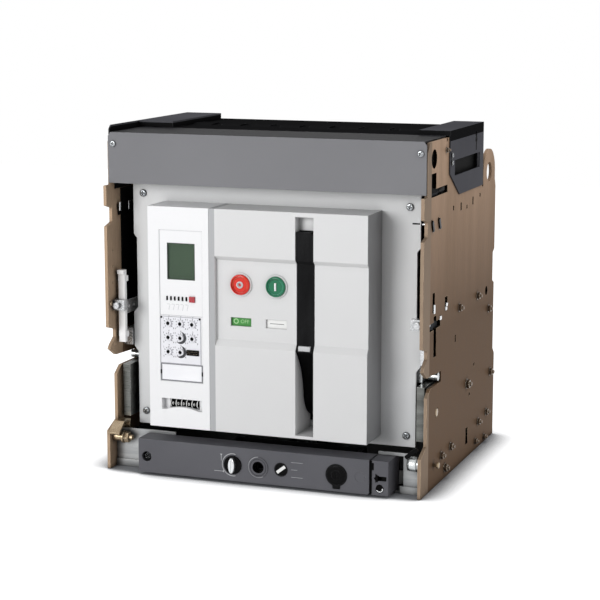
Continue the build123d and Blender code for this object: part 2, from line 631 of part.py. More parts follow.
def position_indicator():
    """Disc with a raised pointer bar that turns with the racking travel."""
    disc = rod_y(INDICATOR_X, PANEL_AXIS_Z, INDICATOR_R, (PANEL_FRONT + 1, PANEL_FRONT + 5))
    pointer = Pos(INDICATOR_X, PANEL_FRONT + 0.7, PANEL_AXIS_Z) * Rot(0, 50, 0) * Box(2.6, 1.4, 11)
    return disc + pointer + rod_y(INDICATOR_X, PANEL_AXIS_Z, 4.0, (PANEL_FRONT + 4, TRAY_FRONT + 12))


def key_cylinder():
    """Key lock plug with the key slot and a spindle to the interlock."""
    plug = rod_y(KEY_X, PANEL_AXIS_Z, KEY_R, (PANEL_FRONT - 1.5, PANEL_FRONT + 8))
    keyway_z = (PANEL_AXIS_Z - 6, PANEL_AXIS_Z + 6)
    plug -= block((KEY_X - 1.2, KEY_X + 1.2), (PANEL_FRONT - 2, PANEL_FRONT + 4), keyway_z)
    return plug + rod_y(KEY_X, PANEL_AXIS_Z, 5.0, (PANEL_FRONT + 7, TRAY_FRONT + 12))


def lock_plug():
    plug = rod_y(LOCK_PLUG_X, LOCK_PLUG_Z, LOCK_PLUG_R, (LOCK_FRONT + 0.5, LOCK_FRONT + 15))
    slot_z = (LOCK_PLUG_Z - 0.6, LOCK_PLUG_Z + 0.6)
    slot = block((LOCK_PLUG_X - 3, LOCK_PLUG_X + 3), (LOCK_FRONT, LOCK_FRONT + 4), slot_z)
    return plug - slot


# Breaker carcass


def chassis():
    """Folded steel chassis: floor, two side walls, the push bar, and two mechanism cheeks."""
    low, high = CARCASS_Z
    y = (FRONT_PLATE_Y + FRONT_PLATE_T, CARCASS_REAR)
    body = block((-CARCASS_HALF_W, CARCASS_HALF_W), y, (low, low + 3))
    for side in (-1, 1):
        x = sorted((side * CARCASS_HALF_W, side * (CARCASS_HALF_W - SHEET_T)))
        body += block(x, y, (low, high))
    push_y = (CARRIAGE_Y[0] - 10, CARRIAGE_Y[0] - 0.5)
    body += block((CRANK_X - 20, CRANK_X + 20), push_y, (50, low + 1))
    axis_y, axis_z = main_shaft_axis()
    body -= rod_x(axis_y, axis_z, MAIN_SHAFT_R + SHAFT_FIT, (-CARCASS_HALF_W - 1, CARCASS_HALF_W + 1))
    cheek_outline = [(-144, 96), (-144, 150), (-100, 190), (-40, 190), (-40, low + 3), (-117, low + 3),
                     (-117, 90)]
    cheeks = []
    for x in CHEEK_X:
        cheek = slab_yz(cheek_outline, (x, x + 3))
        cheek -= rod_x(axis_y, axis_z, MAIN_SHAFT_R + SHAFT_FIT, (x - 1, x + 4))
        cheek -= rod_x(*CHARGE_AXIS, CHARGE_SHAFT_R + SHAFT_FIT, (x - 1, x + 4))
        cheeks.append(cheek)
    return [body] + cheeks


def front_plate():
    """Light front plate with side ears, a recess between them and the mechanism window."""
    half = FRONT_HALF_W
    low, high = FRONT_PLATE_Z
    right = [(half, low), (half, 143), (half + EAR_OUT, 150), (half + EAR_OUT, 194), (half, 200), (half, 289),
             (half + 4, 294), (half + 4, high)]
    left = [(-x, z) for x, z in reversed(right)]
    y = (FRONT_PLATE_Y, FRONT_PLATE_Y + FRONT_PLATE_T)
    plate = slab_xz(right + left, y)
    window = (COVER_X[0] + 6, COVER_X[1] - 6)
    return plate - block(window, (y[0] - 1, y[1] + 1), (COVER_Z[0] + 10, COVER_Z[1] - 7.5))


def housing():
    """Moulded pole housing: three arc chambers, chute pockets, slots for rods and copper."""
    half = CARCASS_HALF_W - SHEET_T
    body = block((-half, half), (HOUSING_FRONT, CARCASS_REAR), (CARCASS_Z[0] + 3, CARCASS_Z[1]))
    for pole in POLES:
        x = (pole - CHAMBER_W / 2, pole + CHAMBER_W / 2)
        body -= block(x, (HOUSING_FRONT + HOUSING_WALL, 70), (LOWER_Z + COPPER_T / 2, CHUTE_Z[0]))
        body -= block((pole - CHUTE_W / 2, pole + CHUTE_W / 2), CHUTE_Y, (CHUTE_Z[0], CHUTE_Z[1]))
        wall_y = (HOUSING_FRONT - 1, HOUSING_FRONT + HOUSING_WALL + 1)
        body -= block((pole - 10, pole + 10), wall_y, (160, 202))
        body -= bar_section(pole, UPPER_Z, (69, CARCASS_REAR + 1))
        body -= bar_section(pole, LOWER_Z, (12, CARCASS_REAR + 1))
        for level in (UPPER_Z, LOWER_Z):
            rim_y = (CARCASS_REAR - 4, CARCASS_REAR + 1)
            rim = block((pole - 42, pole + 42), rim_y, (level - 13, level + 13))
            body -= rim - bar_section(pole, level, (CARCASS_REAR - 5, CARCASS_REAR + 2))
    return body


def arc_chutes():
    """Arc chutes: insulating boxes with a row of vents between the splitter plates."""
    chutes = []
    for pole in POLES:
        x = (pole - CHUTE_W / 2, pole + CHUTE_W / 2)
        chute = block(x, CHUTE_Y, CHUTE_Z)
        pitch = (CHUTE_Y[1] - CHUTE_Y[0] - 12) / CHUTE_VENTS
        for i in range(CHUTE_VENTS):
            y = CHUTE_Y[0] + 6 + (i + 0.5) * pitch
            chute -= block((x[0] + 8, x[1] - 8), (y - 5, y + 5), (CHUTE_Z[1] - 24, CHUTE_Z[1] + 1))
            chute -= block((x[0] + 8, x[1] - 8), (y - 3, y + 3), (CHUTE_Z[0] - 1, CHUTE_Z[1] - 40))
        chutes.append(chute)
    return chutes


def in_arm_frame(shape, angle):
    """Turn a shape drawn on an upright arm about the arm pivot; positive leans to the front."""
    y, z = ARM_PIVOT
    return Pos(0, y, z) * Rot(angle, 0, 0) * shape


def primary_stabs():
    """Copper of the breaker: upper bars with fixed contacts, lower bars with the pivot lugs."""
    parts = []
    for pole in POLES:
        upper = bar_section(pole, UPPER_Z, (66, STAB_TIP))
        pad_y = ARM_T / 2 + 4 + TOUCH_GAP
        pad = block((pole - 22, pole + 22), (pad_y, pad_y + 6), (ARM_L - 6, ARM_L + 6))
        parts.append(upper + in_arm_frame(pad, -ARM_SWING / 2))
        lower = bar_section(pole, LOWER_Z, (12, STAB_TIP))
        top = LOWER_Z + COPPER_T / 2
        for side in (-1, 1):
            x = sorted((pole + side * (ARM_W / 2 + 1), pole + side * (ARM_W / 2 + 8)))
            lower += block(x, (ARM_PIVOT[0] - 10, ARM_PIVOT[0] + 10), (top - 1, ARM_PIVOT[1] + 10))
        reach = ARM_W / 2 + 8
        lower += rod_x(*ARM_PIVOT, PIVOT_PIN_R, (pole - reach, pole + reach))
        parts.append(lower)
    return parts


def contact_arms():
    """Moving contact arms, drawn upright and leaned to the front where the breaker is open."""
    arms = []
    for pole in POLES:
        x = (pole - ARM_W / 2, pole + ARM_W / 2)
        arm = block(x, (-ARM_T / 2, ARM_T / 2), (0, ARM_L + 10)) + rod_x(0, 0, 9.0, x)
        arm += block((pole - 22, pole + 22), (ARM_T / 2, ARM_T / 2 + 4), (ARM_L - 6, ARM_L + 6))
        fork = (pole - LINK_W / 2 - 1.5, pole + LINK_W / 2 + 1.5)
        arm -= block(fork, (-ARM_T, ARM_T), (ARM_PIN_H - 16, ARM_PIN_H + 16))
        arm += rod_x(0, ARM_PIN_H, LINK_PIN_R, (pole - 16, pole + 16))
        arm -= rod_x(0, 0, PIVOT_PIN_R + SHAFT_FIT, (x[0] - 1, x[1] + 1))
        arms.append(in_arm_frame(arm, ARM_SWING / 2))
    return arms


def main_shaft_axis():
    y, z = ARM_PIVOT
    return y - LINK_L, z + ARM_PIN_H - CRANK_R


def crank_pin_axis():
    """Place of the crank pins with the breaker open."""
    y, z = main_shaft_axis()
    angle = math.radians(CRANK_SWING / 2)
    return y - CRANK_R * math.sin(angle), z + CRANK_R * math.cos(angle)


def main_shaft():
    """Main shaft across the three poles with a forked crank at each pole."""
    y, z = main_shaft_axis()
    pin_y, pin_z = crank_pin_axis()
    shaft = rod_x(y, z, MAIN_SHAFT_R, (-CARCASS_HALF_W, CARCASS_HALF_W))
    for pole in POLES:
        for side in (-1, 1):
            x = sorted((pole + side * (LINK_W / 2 + 0.5), pole + side * (LINK_W / 2 + 5.5)))
            web = Pos(x[0], y, z) * Rot(CRANK_SWING / 2, 0, 0) * block((0, 5), (-8, 8), (0, CRANK_R))
            shaft += web + rod_x(pin_y, pin_z, 8.0, x)
        shaft += rod_x(pin_y, pin_z, LINK_PIN_R, (pole - 9, pole + 9))
        gap = (pole - LINK_W / 2 - 0.5, pole + LINK_W / 2 + 0.5)
        shaft -= rod_x(pin_y, pin_z, LINK_EYE_R + 1, gap) - rod_x(pin_y, pin_z, LINK_PIN_R, gap)
    return shaft


def drive_links():
    """Insulating rods from the cranks to the arms; the eye at the arm is the open pivot."""
    pin_y, pin_z = crank_pin_axis()
    links = []
    for pole in POLES:
        x = (pole - LINK_W / 2, pole + LINK_W / 2)
        link = block(x, (pin_y, pin_y + LINK_L), (pin_z - 5, pin_z + 5))
        link += rod_x(pin_y, pin_z, LINK_EYE_R, x) + rod_x(pin_y + LINK_L, pin_z, LINK_EYE_R, x)
        link -= rod_x(pin_y, pin_z, LINK_PIN_R + SHAFT_FIT, (x[0] - 1, x[1] + 1))
        link -= rod_x(pin_y + LINK_L, pin_z, LINK_OPEN_HOLE_R, (x[0] - 1, x[1] + 1))
        links.append(link)
    return links


def charging_shaft():
    """Charging shaft with its toothed ratchet wheel and the spring cam."""
    y, z = CHARGE_AXIS
    teeth = []
    for i in range(RATCHET_TEETH):
        a = 2 * math.pi * i / RATCHET_TEETH
        b = 2 * math.pi * (i + 0.85) / RATCHET_TEETH
        teeth.append((y + RATCHET_R * math.cos(a), z + RATCHET_R * math.sin(a)))
        teeth.append((y + (RATCHET_R - 4) * math.cos(b), z + (RATCHET_R - 4) * math.sin(b)))
    shaft = rod_x(y, z, CHARGE_SHAFT_R, CHARGE_SHAFT_X) + slab_yz(teeth, RATCHET_X)
    return shaft + rod_x(y - 5, z + 6, 18.0, CAM_X)


def closing_springs():
    """Two closing springs below the main shaft, each a closed form with its turns marked."""
    springs = []
    low = CARCASS_Z[0] + 3
    pitch = SPRING_L / SPRING_COILS
    profile = [(SPRING_R - 4, 0)]
    for i in range(SPRING_COILS):
        profile += [(SPRING_R - SPRING_WIRE_R, i * pitch), (SPRING_R, (i + 0.5) * pitch)]
    profile += [(SPRING_R - SPRING_WIRE_R, SPRING_L), (SPRING_R - 4, SPRING_L)]
    face = make_face(Polyline(*profile, close=True))
    for x in SPRING_X:
        springs.append(Pos(x, SPRING_Y, low) * revolve(Plane.XZ * face, Axis.Z))
    return springs


def carrying_pins():
    """Pins that ride on the rails, and the guide pins that enter the slots of the side plates."""
    pins = []
    for y in PIN_Y:
        pins += both_sides(rod_x(y, PIN_Z, PIN_R, (CARCASS_HALF_W, RAIL_X[1] - 1)))
    bracket_y = (GUIDE_PIN_Y - 14, GUIDE_PIN_Y + 14)
    bracket = block((CARCASS_HALF_W, RAIL_X[0] - 0.5), bracket_y, (RAIL_Z[1] + 0.4, PIN_Z + 11.5))
    bracket += rod_x(GUIDE_PIN_Y, PIN_Z, GUIDE_PIN_R, (CARCASS_HALF_W + 6, HALF_W - 1))
    return pins + both_sides(bracket)


# Front: cover, trip unit, buttons and handle


def step_profile(front, rear, low, high, wall):
    """(y, z) outline of the stepped front: proud at top and bottom, recessed in the middle band."""
    back = front + STEP_DEPTH
    return [(rear, low), (front, low), (front, STEP_LOW_Z[0] + wall / 2), (back, STEP_LOW_Z[1] + wall / 2),
            (back, STEP_HIGH_Z[0] - wall / 2), (front, STEP_HIGH_Z[1] - wall / 2), (front, high),
            (rear, high)]


def front_cover():
    """Raised cover with the stepped face, the button seats, flag windows and handle slot."""
    low, high = COVER_Z
    wall = COVER_WALL
    cover = slab_yz(step_profile(COVER_FRONT, FRONT_PLATE_Y, low, high, 0), COVER_X)
    cover += block((COVER_X[0], COVER_X[0] + STRIP_W), (COVER_FRONT, FRONT_PLATE_Y), COVER_Z)
    inner = step_profile(COVER_FRONT + wall, FRONT_PLATE_Y + 1, low + wall, high - wall, wall)
    cover -= slab_yz(inner, (COVER_X[0] + wall, COVER_X[1] - wall))
    cover += slab_yz(step_profile(COVER_FRONT, SLOT_REAR, low, high, 0), (SLOT_X[0] - 2, SLOT_X[1] + 2))
    cover -= block(SLOT_X, (COVER_FRONT - 1, FRONT_PLATE_Y), (SLOT_FLOOR_Z, HANDLE_TOP + 0.7))
    cover -= block(SLOT_X, (COVER_FRONT - 1, COVER_FRONT + RECESS_DEPTH), (HANDLE_TOP, SLOT_TOP_Z))
    for x in (OFF_X, ON_X):
        cover += rod_y(x, BUTTON_Z, BUTTON_R + BUTTON_RING, (SKIN_Y - 1.5, SKIN_Y + 6))
        cover -= rod_y(x, BUTTON_Z, BUTTON_R + SPIN_FIT, (SKIN_Y - 3, SKIN_Y + 8))
    for x in (OFF_X, ON_X):
        cover -= block((x - FLAG_W / 2, x + FLAG_W / 2), (SKIN_Y - 1, SKIN_Y + wall + 1), FLAG_Z)
    return cover


def button(x):
    """Domed push button with a stem behind."""
    head = rod_y(x, BUTTON_Z, BUTTON_R, (SKIN_Y - BUTTON_PROUD, SKIN_Y + 6))
    head = chamfer(head.edges().group_by(Axis.Y)[0], 1.5)
    return head + rod_y(x, BUTTON_Z, 5.0, (SKIN_Y + 5, SKIN_Y + 22))


def flag(x):
    """Two-field indicator plate behind its window, with the guide tail."""
    low, high = FLAG_Z
    y = (SKIN_Y + COVER_WALL + 0.5, SKIN_Y + COVER_WALL + 2.5)
    return block((x - FLAG_W / 2 - 2, x + FLAG_W / 2 + 2), y, (low - FLAG_STROKE - 2, high + 2))


def charging_handle():
    """Pull handle that fills the slot, with a finger cup on top and a round hub below."""
    back = COVER_FRONT + HANDLE_DEPTH
    hub_y, hub_z = CHARGE_AXIS
    outline = Polyline((COVER_FRONT, STEP_LOW_Z[0]), (SKIN_Y, STEP_LOW_Z[1]), (SKIN_Y, STEP_HIGH_Z[0]),
                       (COVER_FRONT, STEP_HIGH_Z[1]), (COVER_FRONT, HANDLE_TOP), (back - 6, HANDLE_TOP),
                       (back, HANDLE_TOP - 8), (back, 200), (hub_y, hub_z + HUB_R))
    edges = outline.edges()
    edges.append(ThreePointArc((hub_y, hub_z + HUB_R), (hub_y + HUB_R, hub_z), (hub_y, hub_z - HUB_R)))
    edges.append(ThreePointArc((hub_y, hub_z - HUB_R), (hub_y - HUB_R * 0.72, hub_z - HUB_R * 0.694),
                               (hub_y - HUB_R, hub_z)))
    edges.append(ThreePointArc((hub_y - HUB_R, hub_z), (-158.0, 143.0), (COVER_FRONT, STEP_LOW_Z[0])))
    x = (SLOT_X[0] + HANDLE_SIDE_GAP, SLOT_X[1] - HANDLE_SIDE_GAP)
    handle = extrude(Plane.YZ.offset(x[0]) * make_face(edges), x[1] - x[0])
    handle -= block((x[0] + 4, x[1] - 4), (back - 10, back + 1), (205, HANDLE_TOP - 14))
    cup_y = (COVER_FRONT + 4.5, COVER_FRONT + RECESS_DEPTH - 0.5)
    handle -= block((x[0] + 3, x[1] - 6), cup_y, (HANDLE_TOP - 12, HANDLE_TOP + 1))
    corner = handle.edges().filter_by(Axis.Y).group_by(Axis.Z)[-1].sort_by(Axis.X)[-1]
    handle = chamfer(corner, 4.0)
    return handle - rod_x(hub_y, hub_z, CHARGE_SHAFT_R + SHAFT_FIT, (x[0] - 1, x[1] + 1))


def trip_unit():
    """White moulded trip unit with pockets for display, dial plate, rating window and counter."""
    body = block(TRIP_X, (COVER_FRONT, FRONT_PLATE_Y), COVER_Z)
    floor = COVER_FRONT + TRIP_FRAME_DEPTH
    front = COVER_FRONT - 1
    body -= block(TRIP_FRAME_X, (front, floor), TRIP_FRAME_Z)
    body -= block(LCD_X, (front, floor + 3), LCD_Z)
    body -= block(DIAL_PANEL_X, (front, floor + 1.6), DIAL_PANEL_Z)
    body -= block(RATING_X, (front, floor + 3), RATING_Z)
    for x, z in dial_places():
        body -= rod_y(x, z, DIAL_R + SPIN_FIT, (front, floor + 5))
    body -= block(PORT_X, (front, floor + 5), PORT_Z)
    half = RESET_W / 2
    body -= block((RESET_X - half - SPIN_FIT, RESET_X + half + SPIN_FIT), (front, floor + 7),
                  (RESET_Z - half - SPIN_FIT, RESET_Z + half + SPIN_FIT))
    for i in range(6):
        x = -118.6 + i * 5.15
        body -= block((x - 1.1, x + 1.1), (front, floor + 1.5), (RESET_Z - 2.6, RESET_Z + 2.6))
    middle = (COUNTER_X[0] + COUNTER_X[1]) / 2
    mouth = block(COUNTER_X, (front, COVER_FRONT + COUNTER_DEPTH), COUNTER_Z)
    arch_z = COUNTER_Z[0] + COUNTER_ARCH_RISE - COUNTER_ARCH_R
    body -= mouth - rod_y(middle, arch_z, COUNTER_ARCH_R, (front - 1, COVER_FRONT + COUNTER_DEPTH + 1))
    wheel_y, wheel_z = counter_axis()
    span = WHEELS * WHEEL_PITCH / 2 + 2
    return body - rod_x(wheel_y, wheel_z, WHEEL_R + 0.5, (middle - span, middle + span))


def counter_axis():
    return COVER_FRONT + COUNTER_DEPTH + 1.0, (COUNTER_Z[0] + COUNTER_Z[1]) / 2


def counter_wheels():
    """Five number wheels on one spindle, seen in the recess of the trip unit."""
    y, z = counter_axis()
    middle = (COUNTER_X[0] + COUNTER_X[1]) / 2
    span = WHEELS * WHEEL_PITCH / 2 + 1.5
    wheels = rod_x(y, z, 2.0, (middle - span, middle + span))
    for i in range(WHEELS):
        x = middle + (i - (WHEELS - 1) / 2) * WHEEL_PITCH
        wheels += rod_x(y, z, WHEEL_R, (x - WHEEL_W / 2, x + WHEEL_W / 2))
    return wheels


def dial_places():
    """Centres of the setting dials: three rows of three, the last place is the test port."""
    places = [(DIAL_X0 + (i % 3) * DIAL_PITCH_X, DIAL_Z0 - (i // 3) * DIAL_PITCH_Z) for i in range(9)]
    return places[:DIAL_COUNT]


def dial_plate():
    y = COVER_FRONT + TRIP_FRAME_DEPTH - 0.6, COVER_FRONT + TRIP_FRAME_DEPTH + 1.6
    plate = block(DIAL_PANEL_X, y, DIAL_PANEL_Z)
    for x, z in dial_places():
        plate -= rod_y(x, z, DIAL_R + SPIN_FIT, (y[0] - 1, y[1] + 1))
    return plate - block(PORT_X, (y[0] - 1, y[1] + 1), PORT_Z)


def dial(x, z):
    """Setting dial with a screwdriver slot."""
    y = COVER_FRONT - DIAL_PROUD, COVER_FRONT + TRIP_FRAME_DEPTH + 4.5
    body = rod_y(x, z, DIAL_R, y)
    return body - block((x - 0.6, x + 0.6), (y[0] - 1, y[0] + 1.2), (z - 3.2, z + 3.2))


def trip_windows():
    """Clear panes over the display and over the rating plug."""
    floor = COVER_FRONT + TRIP_FRAME_DEPTH
    return [block(LCD_X, (floor + 1, floor + 3), LCD_Z), block(RATING_X, (floor, floor + 2), RATING_Z)]


def test_port():
    floor = COVER_FRONT + TRIP_FRAME_DEPTH
    port = block(PORT_X, (floor - 1, floor + 5), PORT_Z)
    rim = 1.5
    well_z = (PORT_Z[0] + rim, PORT_Z[1] - rim)
    return port - block((PORT_X[0] + rim, PORT_X[1] - rim), (floor - 2, floor + 3), well_z)


def reset_key():
    half = RESET_W / 2
    return block((RESET_X - half, RESET_X + half), (COVER_FRONT - 1.2, COVER_FRONT + 5),
                 (RESET_Z - half, RESET_Z + half))


def front_screws():
    """Pan-head screws at the corners of the front plate."""
    heads = []
    for x in (-174.0, 174.0):
        for z in (65.2, 345.0):
            head = rod_y(x, z, 5.0, (FRONT_PLATE_Y - 3.0, FRONT_PLATE_Y))
            slot_y = (FRONT_PLATE_Y - 4, FRONT_PLATE_Y - 1.6)
            heads.append(head - block((x - 0.7, x + 0.7), slot_y, (z - 4, z + 4)))
    return heads


def cradle_screws():
    """Screws of the top cover and of the bottom panel."""
    heads = []
    for x in (-197.5, 197.5):
        heads.append(rod_y(x, 410.0, 5.0, (TOP_FRONT - 3.0, TOP_FRONT)))
    for x in (PANEL_X[0] + PANEL_SCREW_INSET, PANEL_X[1] - PANEL_SCREW_INSET):
        heads.append(rod_y(x, PANEL_AXIS_Z, 5.0, (PANEL_FRONT + 5, PANEL_FRONT + 9)))
    return heads


os.makedirs("parts", exist_ok=True)

right_plate = side_plate()
save("side_plate_right", right_plate)
save("side_plate_left", mirror(right_plate, about=Plane.YZ))
save("base_tray", base_tray())
save("top_cover", top_cover())
save("control_terminals", control_terminals())
save("arc_cover", arc_cover())
left_end = arc_cover_end(CAP_LEFT_FRONT, CAP_LEFT_TOP, CAP_LEFT_FLANGE_W)
save("arc_cover_end_right", arc_cover_end(CAP_Y[0], CAP_TOP, CAP_FLANGE_W))
save("arc_cover_end_left", mirror(left_end, about=Plane.YZ))
save("terminal_base", terminal_base())
save("main_terminals", *main_terminals())
save("contact_clusters", *contact_clusters())
save("drawout_panel", drawout_panel())
save("racking_housing", *racking_housing())
save("lock_block", lock_block())
save("foot_bracket", foot_bracket())
save("foot_pins", *foot_pins())
save("cradle_fasteners", *frame_bolts(), *cradle_screws())
save("rail_guides", *rail_guides())
save("side_clamps", *side_clamps(), *position_stop())
save("interlock_bar", *interlock_bar())
right_rail = rail()
save("rail_right", right_rail)
save("rail_left", mirror(right_rail, about=Plane.YZ))
save("racking_screw", racking_screw())
save("racking_carriage", racking_carriage())
save("release_knob", release_knob())
save("position_indicator", position_indicator())
save("key_cylinder", key_cylinder())
save("lock_plug", lock_plug())

save("chassis", *chassis())
save("pole_housing", housing())
save("arc_chutes", *arc_chutes())
save("primary_stabs", *primary_stabs())
save("contact_arms", *contact_arms())
save("main_shaft", main_shaft())
save("drive_links", *drive_links())
save("charging_shaft", charging_shaft())
save("closing_springs", *closing_springs())
save("carrying_pins", *carrying_pins())
save("front_plate", front_plate())
save("front_screws", *front_screws())
save("front_cover", front_cover())
save("off_button", button(OFF_X))
save("on_button", button(ON_X))
save("position_flag", flag(OFF_X))
save("charge_flag", flag(ON_X))
save("charging_handle", charging_handle())
save("trip_unit", trip_unit())
save("dial_plate", dial_plate())
for number, (dial_x, dial_z) in enumerate(dial_places(), 1):
    save("dial_" + str(number), dial(dial_x, dial_z))
save("trip_windows", *trip_windows())
save("test_port", test_port())
save("reset_key", reset_key())
save("counter_wheels", counter_wheels())
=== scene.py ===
# %% [markdown]
# # Dressing a draw-out air circuit breaker
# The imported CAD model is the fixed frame: every plate, rail and knob is already at its real place and size.
# This lesson gives each of them its finish, and adds the small pieces that CAD leaves out: screw heads with
# their crosses, nuts, the printed scales of the dials, the marks on the buttons and the number wheels.

# %% Load the frame
import math

import bmesh
import bpy
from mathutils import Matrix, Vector


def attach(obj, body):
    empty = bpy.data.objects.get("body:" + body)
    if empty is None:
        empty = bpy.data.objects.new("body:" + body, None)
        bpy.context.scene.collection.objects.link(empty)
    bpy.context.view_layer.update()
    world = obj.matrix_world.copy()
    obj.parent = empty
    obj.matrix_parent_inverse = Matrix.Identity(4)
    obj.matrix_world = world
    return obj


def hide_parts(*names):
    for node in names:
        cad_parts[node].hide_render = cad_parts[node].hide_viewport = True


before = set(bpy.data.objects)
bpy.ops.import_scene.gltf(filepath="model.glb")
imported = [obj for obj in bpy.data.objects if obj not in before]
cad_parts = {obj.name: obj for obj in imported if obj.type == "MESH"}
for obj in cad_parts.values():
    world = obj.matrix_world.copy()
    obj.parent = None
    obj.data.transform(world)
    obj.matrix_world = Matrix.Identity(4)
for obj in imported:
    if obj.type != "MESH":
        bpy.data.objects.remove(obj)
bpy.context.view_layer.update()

MM = 0.001

# %% [markdown]
# ## Camera
# A product picture is taken from far away with a long lens, so that upright edges stay upright. The place
# and the two angles below were measured from the edges of the object. The camera looks along its own -Z, so
# it is tipped up by a right angle first, lowered by the pitch, and then turned by the yaw.

# %% Set the camera
CAMERA_PLACE = Vector((0.7834, -2.1431, 0.6021))
CAMERA_YAW = math.radians(20.32)
CAMERA_PITCH = math.radians(9.99)
FOCAL_LENGTH = 107.2
SENSOR = 36.0

bpy.ops.object.camera_add(location=CAMERA_PLACE, rotation=(math.pi / 2 - CAMERA_PITCH, 0, CAMERA_YAW))
camera = bpy.context.object
camera.data.lens = FOCAL_LENGTH
camera.data.sensor_width = SENSOR
bpy.context.scene.camera = camera
print("camera looks at the object from", [round(v, 2) for v in camera.location])

# %% [markdown]
# ## Studio
# The breaker stands on a white sweep. A large soft lamp from the front left makes the front bright and
# leaves the right side a step darker, and two weaker ones open the shadows. The sky is an even grey for
# lighting and plain white where it is seen directly or in a reflection, so polished metal shows the white
# studio. The floor is white in the same way, and a soft contact shadow is painted into its glow where the
# object is close above it; in front of the object that painted shadow is lifted again.

# %% Light the studio
SKY_LEVEL = 0.34
FLOOR_HALF = 3.2
FLOOR_GLOW = 1.04
SHADOW_REACH = 0.055
SHADOW_FADE = (0.54, 0.93)
FRONT_EDGE = (-0.172, -0.186)
FRONT_SHADOW_LIFT = 0.16

scene = bpy.context.scene
scene.view_settings.view_transform = "Standard"


def feed(tree, socket, value):
    """Gives an input a value, or joins it to an output or to the first output of a node."""
    if isinstance(value, bpy.types.Node):
        value = value.outputs[0]
    if isinstance(value, bpy.types.NodeSocket):
        tree.links.new(value, socket)
    else:
        socket.default_value = value


def add(tree, kind, inputs=None, **options):
    """Adds a shader node, sets its options and feeds its inputs."""
    made = tree.nodes.new("ShaderNode" + kind)
    for option, value in options.items():
        setattr(made, option, value)
    for socket, value in (inputs or {}).items():
        feed(tree, made.inputs[socket], value)
    return made


def sums(tree, operation, first, second, kind="Math", **options):
    return add(tree, kind, {0: first, 1: second}, operation=operation, **options)


def remap(tree, value, low, high, to_low=0.0, to_high=1.0):
    return add(tree, "MapRange", {0: value, 1: low, 2: high, 3: to_low, 4: to_high})


def mixed(tree, share, first, second):
    return add(tree, "Mix", {0: share, 6: first, 7: second}, data_type="RGBA").outputs[2]


def seen_directly(tree):
    """1 where a ray comes from the camera, or from it by way of gloss or glass."""
    path = add(tree, "LightPath").outputs
    glossy = sums(tree, "MAXIMUM", path["Is Camera Ray"], path["Is Glossy Ray"])
    return sums(tree, "MAXIMUM", glossy, path["Is Transmission Ray"])


scene.world = bpy.data.worlds.new("studio")
scene.world.use_nodes = True
sky = scene.world.node_tree
sky.nodes.clear()
lighting = add(sky, "Background", {"Color": (0.97, 0.98, 1.0, 1), "Strength": SKY_LEVEL})
white = add(sky, "Background", {"Color": (1, 1, 1, 1), "Strength": 1.0})
chosen = add(sky, "MixShader", {0: seen_directly(sky), 1: lighting, 2: white})
add(sky, "OutputWorld", {"Surface": chosen})


def soft_lamp(name, place, target, size, watts):
    """A square area lamp that faces its target."""
    aim = (Vector(target) - Vector(place)).to_track_quat("-Z", "Y")
    bpy.ops.object.light_add(type="AREA", location=place, rotation=aim.to_euler())
    lamp = bpy.context.object
    lamp.name = name
    lamp.data.shape = "SQUARE"
    lamp.data.size = size
    lamp.data.energy = watts


soft_lamp("key_lamp", (-1.3, -3.5, 1.05), (0, 0, 0.2), 1.5, 74)
soft_lamp("side_lamp", (3.4, -1.2, 1.5), (0.2, 0, 0.2), 1.6, 20)
soft_lamp("top_lamp", (0.2, 1.4, 3.2), (0, 0, 0.2), 1.6, 14)

bpy.ops.mesh.primitive_plane_add(size=2 * FLOOR_HALF, location=(0, 0, -0.0005))
floor = bpy.context.object
floor.name = "studio_floor"
sweep = bpy.data.materials.new("white_sweep")
sweep.use_nodes = True
ground = sweep.node_tree
ground.nodes.clear()
card = add(ground, "BsdfDiffuse", {"Color": (0.88, 0.88, 0.88, 1)})
# Painted shadow: close to the object the floor's glow falls off with ambient occlusion, and in front of the
# object it is lifted back by position, so the contact shadow is painted into the floor.
near = add(ground, "AmbientOcclusion", {"Distance": SHADOW_REACH}, samples=12).outputs["AO"]
spot = add(ground, "SeparateXYZ", {0: add(ground, "TexCoord").outputs["Object"]}).outputs
lifted = sums(ground, "ADD", near, remap(ground, spot[1], *FRONT_EDGE, 0.0, FRONT_SHADOW_LIFT))
opened = remap(ground, lifted, *SHADOW_FADE, 0.0, FLOOR_GLOW)
glow = add(ground, "Emission", {"Color": (1, 1, 1, 1), "Strength": opened})
dim_card = add(ground, "BsdfDiffuse", {"Color": (0.33, 0.34, 0.36, 1)})
lit_card = add(ground, "AddShader", {0: dim_card, 1: glow})
seen = add(ground, "MixShader", {0: seen_directly(ground), 1: card, 2: lit_card})
add(ground, "OutputMaterial", {"Surface": seen})
floor.data.materials.append(sweep)

# %% [markdown]
# ## Effects that many finishes share
# Sheet metal and mouldings are never perfectly even. Each effect below is built once as a node group and
# then placed in every material with its own numbers. The first rounds the sharp CAD edges for the light and
# finds where they are rubbed. The second gives the fine grain and the slow cloudiness of a surface. The
# third darkens the corners, both for the dust that stays there and as painted shade, and the fourth tells
# what lies inside a box, for places with another colour, many of them painted shade and one painted light.

# %% Build the shared effects
def group(name, inputs, outputs):
    """A node group with named inputs (label, kind, default) and outputs (label, kind)."""
    made = bpy.data.node_groups.new(name, "ShaderNodeTree")
    for label, kind, value in inputs:
        socket = made.interface.new_socket(name=label, in_out="INPUT", socket_type="NodeSocket" + kind)
        socket.default_value = value
    for label, kind in outputs:
        made.interface.new_socket(name=label, in_out="OUTPUT", socket_type="NodeSocket" + kind)
    return made, made.nodes.new("NodeGroupInput").outputs, made.nodes.new("NodeGroupOutput").inputs


